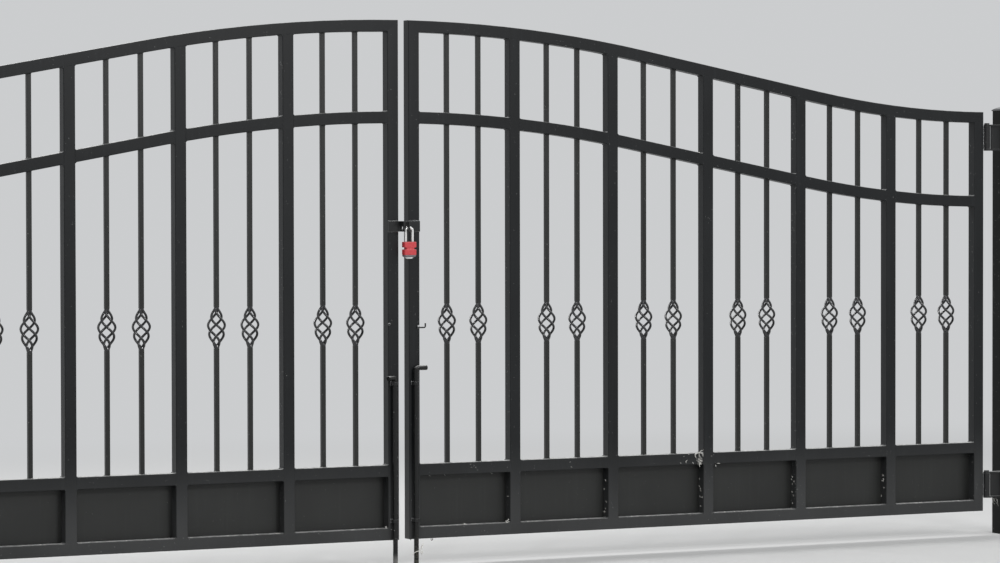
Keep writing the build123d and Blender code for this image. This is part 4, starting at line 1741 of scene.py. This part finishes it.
@dataclass
class Litter:
    """Dry fibres, lint and crumbs that hang on the gate."""

    shop: Workshop
    seed: int = 7
    rail_top_mm: tuple[float, float] = (38.1, 243.0)
    lint_per_run: int = 9
    chips_per_corner: int = 7

    LEFT_BITS = (Wisp(((-70.0, -19.55, 45.5), (-66.0, -20.05, 42.5), (-62.5, -19.55, 40.5)), 0.8),
                 Wisp.flat(-19.55, 0.6, (-68.5, 41.5), (-63.5, 45.5)),
                 Wisp.flat(-19.55, 0.3, (-48.0, 36.0), (-46.5, 33.0)),
                 Wisp.flat(-19.55, 0.3, (-24.2, 268.5), (-23.2, 265.0)),
                 Wisp.flat(-19.55, 0.3, (-25.2, 132.5), (-24.2, 129.0)))
    POST_WISPS = (
        Wisp(((2286.0, -30.0, 46.5), (2296.0, -33.0, 33.0), (2306.0, -32.0, 21.0)), 3.0, 1.5),
        Wisp(((2296.0, -30.0, 46.5), (2309.0, -32.5, 30.0)), 2.5, 1.5),
        Wisp(((2310.0, -30.0, 46.5), (2316.0, -33.0, 27.0), (2320.0, -32.0, 16.0)), 3.0, 1.5),
        Wisp(((2352.0, -51.0, 60.0), (2358.0, -52.0, 44.0), (2361.0, -52.0, 24.0)), 1.2, 1.5))
    ROD_FIBRE = (
        Wisp(((24.0, -33.5, -47.0), (27.5, -36.5, -43.0), (34.0, -39.65, -38.5),
              (42.0, -39.25, -36.5), (49.5, -34.5, -38.0)), 0.5),
        Wisp(((22.5, -33.0, -47.5), (26.0, -35.0, -45.5)), 1.0, 2.0),
        Wisp(((21.0, -32.5, -46.0), (25.5, -35.5, -47.5)), 1.2, 2.0),
        Wisp(((49.5, -34.5, -38.0), (55.0, -34.0, -28.0), (64.0, -32.0, -12.0)), 0.8),
        Wisp(((46.0, -35.5, -37.0), (53.5, -34.0, -29.0), (61.0, -32.0, -14.0)), 1.6, 1.5),
        Wisp(((47.0, -36.0, -39.0), (52.0, -34.5, -44.0), (57.0, -33.0, -50.0)), 1.0),
        Wisp(((52.0, -35.0, -36.0), (58.0, -34.0, -42.0), (55.0, -33.0, -50.0)), 1.8, 1.5))
    CRUMBS = (
        Wisp(((29.5, -2.0, 1.0), (30.5, -2.0, -4.5)), 0.4),
        Wisp(((32.0, 2.0, 1.0), (32.5, 2.0, -6.0)), 0.4),
        Wisp(((101.0, -12.0, 1.0), (97.5, -13.0, -3.0), (100.0, -13.0, -7.5),
              (104.5, -12.5, -6.0), (105.0, -12.0, -1.0), (102.5, -12.0, 1.0)), 0.2))

    def build(self) -> None:
        """Scatter the lint and lay each larger tangle where it hangs."""
        self.chance = random.Random(self.seed)
        right, left = (Berth(side.leaf, "frame_paint", "fibre") for side in Side)
        for side, leaf in ((Side.RIGHT, right), (Side.LEFT, left)):
            self.lay(side.node("rail_lint"), self.rail_lint(side), leaf, 0.0006)
        self.lay("right_leaf_tuft", self.tuft(), right, 0.0006, curl=0.003)
        self.lay("right_leaf_bits", self.bits(), right, 0.0009)
        self.lay("right_leaf_wisps", self.threads(), right, 0.0004, curl=0.004)
        self.lay("left_leaf_bits", self.LEFT_BITS, left, 0.0009)
        self.lay("right_post_wisps", self.POST_WISPS, Berth("posts", "post_paint", "fibre"),
                 0.0004, curl=0.003)
        self.lay("right_rod_fibre", self.ROD_FIBRE,
                 Berth("right_rod", "hardware_paint", "fibre"), 0.0014, curl=0.0015)
        self.lay("right_leaf_crumbs", self.CRUMBS, Berth("right_leaf", "frame_paint", "debris"),
                 0.0014)
        self.lay("right_leaf_corner_chips", self.corner_chips(), right, 0.0009)

    def lay(self, name: str, wisps: Iterable[Wisp], berth: Berth, radius: float,
            curl: float = 0.001) -> None:
        """Grow fibres and hang them on a body.

        Args:
            name: Name of the piece.
            wisps: The fibres.
            berth: Where they belong.
            radius: Half the thickness of a fibre.
            curl: How far the noise shakes them.
        """
        guide = guide_lines(name + "_lines", [wisp.line(self.chance) for wisp in wisps])
        self.shop.grow(self.shop.fibres, name, guide, berth, Radius=radius, Curl=curl)

    def rail_lint(self, side: Side) -> list[Wisp]:
        """Short bits along the front of the rails' tops, in every bay of a half."""
        wisps = []
        for index in range(PLAN.bays):
            low, high = PLAN.bay_sides(index)
            for top in self.rail_top_mm:
                for _ in range(self.lint_per_run):
                    x = side.outward * self.chance.uniform(low + 4, high - 4)
                    y = self.chance.uniform(PLAN.front + 1.5, PLAN.front + 13)
                    reach = self.chance.uniform(1.5, 4.5)
                    slant = self.chance.uniform(-1.5, 1.5)
                    wisps.append(Wisp(((x - reach, y - slant, top + 0.4), (x, y, top + 0.9),
                                       (x + reach, y + slant, top + 0.4))))
        return wisps

    def tuft(self) -> list[Wisp]:
        """Hanging tangle at the third upright, over the front of the lower rail."""
        y = PLAN.front - 2.2
        head = (1102.0, y - 1.5, 245.0)
        wisps = [Wisp(((1121.5, y + 1.5, 254.0), (1111.0, y, 250.0), head), 0.8),
                 Wisp((head, (1087.0, y, 239.5), (1086.5, y, 232.0), (1094.0, y, 226.0)), 0.7),
                 Wisp((head, (1088.5, y, 238.0), (1089.0, y, 231.0), (1096.0, y, 224.0)), 0.9),
                 Wisp.flat(y, 0.6, (1108.0, 247.5), (1116.5, 243.0), (1119.5, 233.0)),
                 Wisp.flat(y, 0.8, (1104.0, 246.0), (1115.0, 240.0), (1118.5, 229.0)),
                 Wisp((head, (1106.5, y, 234.0), (1107.5, y, 222.0)), 0.9),
                 Wisp((head, (1103.5, y, 233.0), (1101.0, y, 221.0)), 0.9),
                 Wisp(((1106.5, y, 208.0), (1105.5, y + 1, 201.0), (1105.0, y + 1.5, 195.5)), 0.5),
                 Wisp(((1103.5, y, 208.0), (1105.0, y + 1, 202.0), (1106.0, y + 1.5, 196.5)), 0.5)]
        chance = self.chance
        for _ in range(7):
            shift = Vector([chance.uniform(-reach, reach) for reach in (4.5, 1, 2)])
            wisps.append(Wisp((tuple(Vector(head) + shift), head), 1.2, 1.5))
        for _ in range(10):
            share = chance.random()
            half = 13.5 - 5.0 * share
            low = 222.0 - 17.0 * share
            middle = 1105.0 + chance.uniform(-1.5, 1.5)
            start = (middle - half * chance.uniform(0.4, 1.0), y - chance.uniform(0, 3),
                     low + chance.uniform(-3, 5))
            end = (middle + half * chance.uniform(0.4, 1.0), y - chance.uniform(0, 3),
                   low - chance.uniform(-3, 5))
            wisps.append(Wisp((start, end), chance.uniform(3.5, 6.0), chance.uniform(0.8, 1.4)))
        return wisps

    def bits(self) -> list[Wisp]:
        """Small pale bits on the right leaf."""
        y = PLAN.front - 0.5
        rows = ((0.3, (1058.5, 221.0), (1053.5, 217.5), (1053.0, 211.0)),
                (0.3, (1078.5, 213.5), (1082.0, 207.0)), (0.2, (1027.0, 247.0), (1029.0, 244.5)),
                (0.2, (1031.0, 213.0), (1034.0, 210.5)), (0.3, (1174.0, 206.0), (1186.5, 205.6)),
                (0.3, (1168.5, 201.5), (1171.5, 193.5)),
                (0.5, (43.2, 305.5), (44.6, 301.0), (45.6, 297.5)),
                (0.5, (1101.0, 1259.0), (1108.0, 1256.5)))
        wisps = [Wisp.flat(y, *row) for row in rows]
        wisps += [Wisp(((369.0, -15.5, 42.5), (384.0, -16.5, 48.5)), 0.8),
                  Wisp(((371.0, -17.5, 40.0), (383.5, -14.0, 52.0)), 0.6),
                  Wisp(((375.0, -12.0, 39.5), (385.0, -17.5, 43.0)), 0.8),
                  Wisp(((213.0, -14.0, 39.0), (220.0, -15.0, 42.5), (227.0, -13.0, 39.0)), 0.8),
                  Wisp(((216.0, -16.5, 39.0), (223.0, -16.0, 41.0), (230.0, -15.0, 39.0)), 0.6)]
        wisps += [Wisp.flat(y, 0.2, (x - 0.8, z + 1.6), (x + 0.8, z - 1.6))
                  for x, z in ((45.1, 91.5), (45.0, 68.5), (46.7, 23.0), (46.7, 10.5),
                               (47.5, 112.0), (50.5, 104.0))]
        return wisps

    def threads(self) -> list[Wisp]:
        """Thin loose threads on the right leaf."""
        y = PLAN.front - 0.6
        wisps = []
        for x, z in ((240.0, 236.0), (246.0, 243.0), (252.0, 231.0), (259.0, 225.0),
                     (265.0, 216.0), (243.0, 226.0), (594.0, 262.0), (600.0, 246.0),
                     (608.0, 229.0), (615.0, 213.0), (1033.0, 226.0), (1046.0, 233.0),
                     (1063.0, 240.0), (1152.0, 231.0)):
            reach = self.chance.uniform(1.5, 3.0)
            slant = self.chance.uniform(-2.0, 2.0)
            wisps.append(Wisp.flat(y, 0.5, (x - reach, z - slant), (x + reach, z + slant)))
        for x, z in ((96.9, 204.0), (151.3, 204.2), (323.3, 203.8), (383.2, 125.3)):
            wisps.append(Wisp(((x - 4.0, -8.0, z), (x + 2.0, -10.0, z - 2.5)), 1.0))
        return wisps

    def corner_chips(self) -> list[Wisp]:
        """Pale chips caught down the right-hand corners of the kick panels."""
        wisps = []
        for index in range(1, PLAN.bays - 1):
            corner = PLAN.bay_sides(index)[1] - 1.0
            for _ in range(self.chips_per_corner):
                y = self.chance.uniform(-12.0, 12.0)
                z = self.chance.uniform(45.0, 165.0)
                wisps.append(Wisp(((corner, y, z - 3.0), (corner - 1.0, y + 1.5, z + 3.0)), 1.0))
        return wisps


# Studio


@dataclass
class Studio:
    """Pale floor, soft light and the camera at the photo's viewing angle."""

    camera_place: tuple[float, float, float] = (-7.3749, -10.3791, 1.1728)
    camera_yaw: float = 27.1961
    camera_pitch: float = -1.2503
    camera_roll: float = -0.1061
    focal_pixels: float = 3554.7
    picture_width: float = 1000.0
    sensor_width: float = 36.0
    floor_half: float = 120.0
    fade_from: float = 2.6
    fade_to: float = 6.5
    fade_shape: tuple[float, float, float] = (0.55, 1.0, 0.0)
    background: Colour = (0.60, 0.61, 0.62)
    floor_colour: Colour = (0.60, 0.60, 0.595)
    sky_colour: Colour = (0.97, 0.985, 1.0)
    world_strength: float = 0.62

    def build(self) -> None:
        """Make the world, floor, lamps and camera."""
        bpy.context.scene.view_settings.view_transform = "Standard"
        self._world()
        self._floor()
        self._lamps()
        self._camera()

    def _world(self) -> None:
        """Even grey light, shown as a pale background."""
        world = bpy.data.worlds.new("studio")
        bpy.context.scene.world = world
        world.use_nodes = True
        world.node_tree.nodes.clear()
        graph = Graph(world.node_tree)
        path = graph.add("ShaderNodeLightPath").outputs
        mirrored = graph.math("MAXIMUM", path["Is Glossy Ray"], path["Is Transmission Ray"])
        seen = graph.math("MAXIMUM", path["Is Camera Ray"], mirrored)
        lit = graph.add("ShaderNodeBackground", {"Color": opaque(self.sky_colour),
                                                 "Strength": self.world_strength})
        shown = graph.add("ShaderNodeBackground", {"Color": opaque(self.background)})
        mixed = graph.add("ShaderNodeMixShader", {0: seen, 1: lit.outputs[0], 2: shown.outputs[0]})
        graph.add("ShaderNodeOutputWorld", {"Surface": mixed.outputs[0]})

    def _floor(self) -> None:
        """Wide matt floor that fades into the background."""
        material = bpy.data.materials.new("studio_floor")
        material.use_nodes = True
        material.node_tree.nodes.clear()
        graph = Graph(material.node_tree)
        matt = graph.add("ShaderNodeBsdfDiffuse", {"Color": opaque(self.floor_colour)})
        glow = graph.add("ShaderNodeEmission", {"Color": opaque(self.background)})
        middle = PLAN.place(0, 0, 0)
        place = graph.add("ShaderNodeTexCoord").outputs["Object"]
        offset = graph.vector_math("SUBTRACT", place, (middle.x, 0.0, 0.0))
        squeezed = graph.vector_math("MULTIPLY", offset, self.fade_shape)
        away = graph.add("ShaderNodeVectorMath", {0: squeezed}, operation="LENGTH")
        faded = graph.ramp(away.outputs["Value"], self.fade_from, self.fade_to)
        mixed = graph.add("ShaderNodeMixShader", {0: faded, 1: matt.outputs[0],
                                                  2: glow.outputs[0]})
        graph.add("ShaderNodeOutputMaterial", {"Surface": mixed.outputs[0]})
        half = self.floor_half
        mesh = bpy.data.meshes.new("studio_floor")
        mesh.from_pydata([(-half, -half, 0), (half, -half, 0), (half, half, 0), (-half, half, 0)],
                         [], [(0, 1, 2, 3)])
        mesh.materials.append(material)
        floor = bpy.data.objects.new("studio_floor", mesh)
        bpy.context.scene.collection.objects.link(floor)
        floor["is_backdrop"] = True

    def _lamps(self) -> None:
        """High key light a little behind the gate, two wide fills and a small high glint."""
        low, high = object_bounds()
        middle = (Vector(low) + Vector(high)) / 2
        lamps = (
            ("key", Vector((-0.8, 2.8, 4.8)), (3.0, 1.8), 210.0),
            ("front_fill", Vector((1.6, -6.2, 2.8)), (1.8, 1.3), 130.0),
            ("glint", Vector((-3.4, -4.6, 5.2)), (0.9, 0.9), 75.0),
            ("side_fill", Vector((5.5, -2.0, 2.6)), (2.5, 2.5), 60.0),
        )
        for name, offset, size, power in lamps:
            data = bpy.data.lights.new(name, "AREA")
            data.shape = "RECTANGLE"
            data.size, data.size_y = size
            data.energy = power
            lamp = bpy.data.objects.new(name, data)
            lamp.location = middle + offset
            lamp.rotation_euler = (-offset).to_track_quat("-Z", "Y").to_euler()
            bpy.context.scene.collection.objects.link(lamp)

    def _camera(self) -> None:
        """Camera at values fitted to the photo's uprights and rails."""
        yaw, pitch, roll = (math.radians(a)
                            for a in (self.camera_yaw, self.camera_pitch, self.camera_roll))
        ahead = Vector((math.sin(yaw) * math.cos(pitch), math.cos(yaw) * math.cos(pitch),
                        math.sin(pitch)))
        level = Vector((math.cos(yaw), -math.sin(yaw), 0))
        above = level.cross(ahead)
        right = math.cos(roll) * level + math.sin(roll) * above
        up = math.cos(roll) * above - math.sin(roll) * level
        data = bpy.data.cameras.new("photo_view")
        data.sensor_width = self.sensor_width
        data.lens = self.sensor_width * self.focal_pixels / self.picture_width
        data.clip_end = 2 * self.floor_half
        camera = bpy.data.objects.new("photo_view", data)
        turn = Matrix((right, up, -ahead)).transposed().to_4x4()
        camera.matrix_world = Matrix.Translation(self.camera_place) @ turn
        bpy.context.scene.collection.objects.link(camera)
        bpy.context.scene.camera = camera


def main() -> None:
    """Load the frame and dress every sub-assembly."""
    logging.basicConfig(level=logging.INFO, format="%(name)s: %(message)s")
    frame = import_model()
    Studio().build()
    shop = Workshop(frame["nodes"])
    for side in Side:
        GateLeaf(shop, side).build()
        HingePost(shop, side).build()
        RodAndLock(shop, side).build()
    Padlock(shop).build()
    Litter(shop).build()


if __name__ == "__main__":
    main()
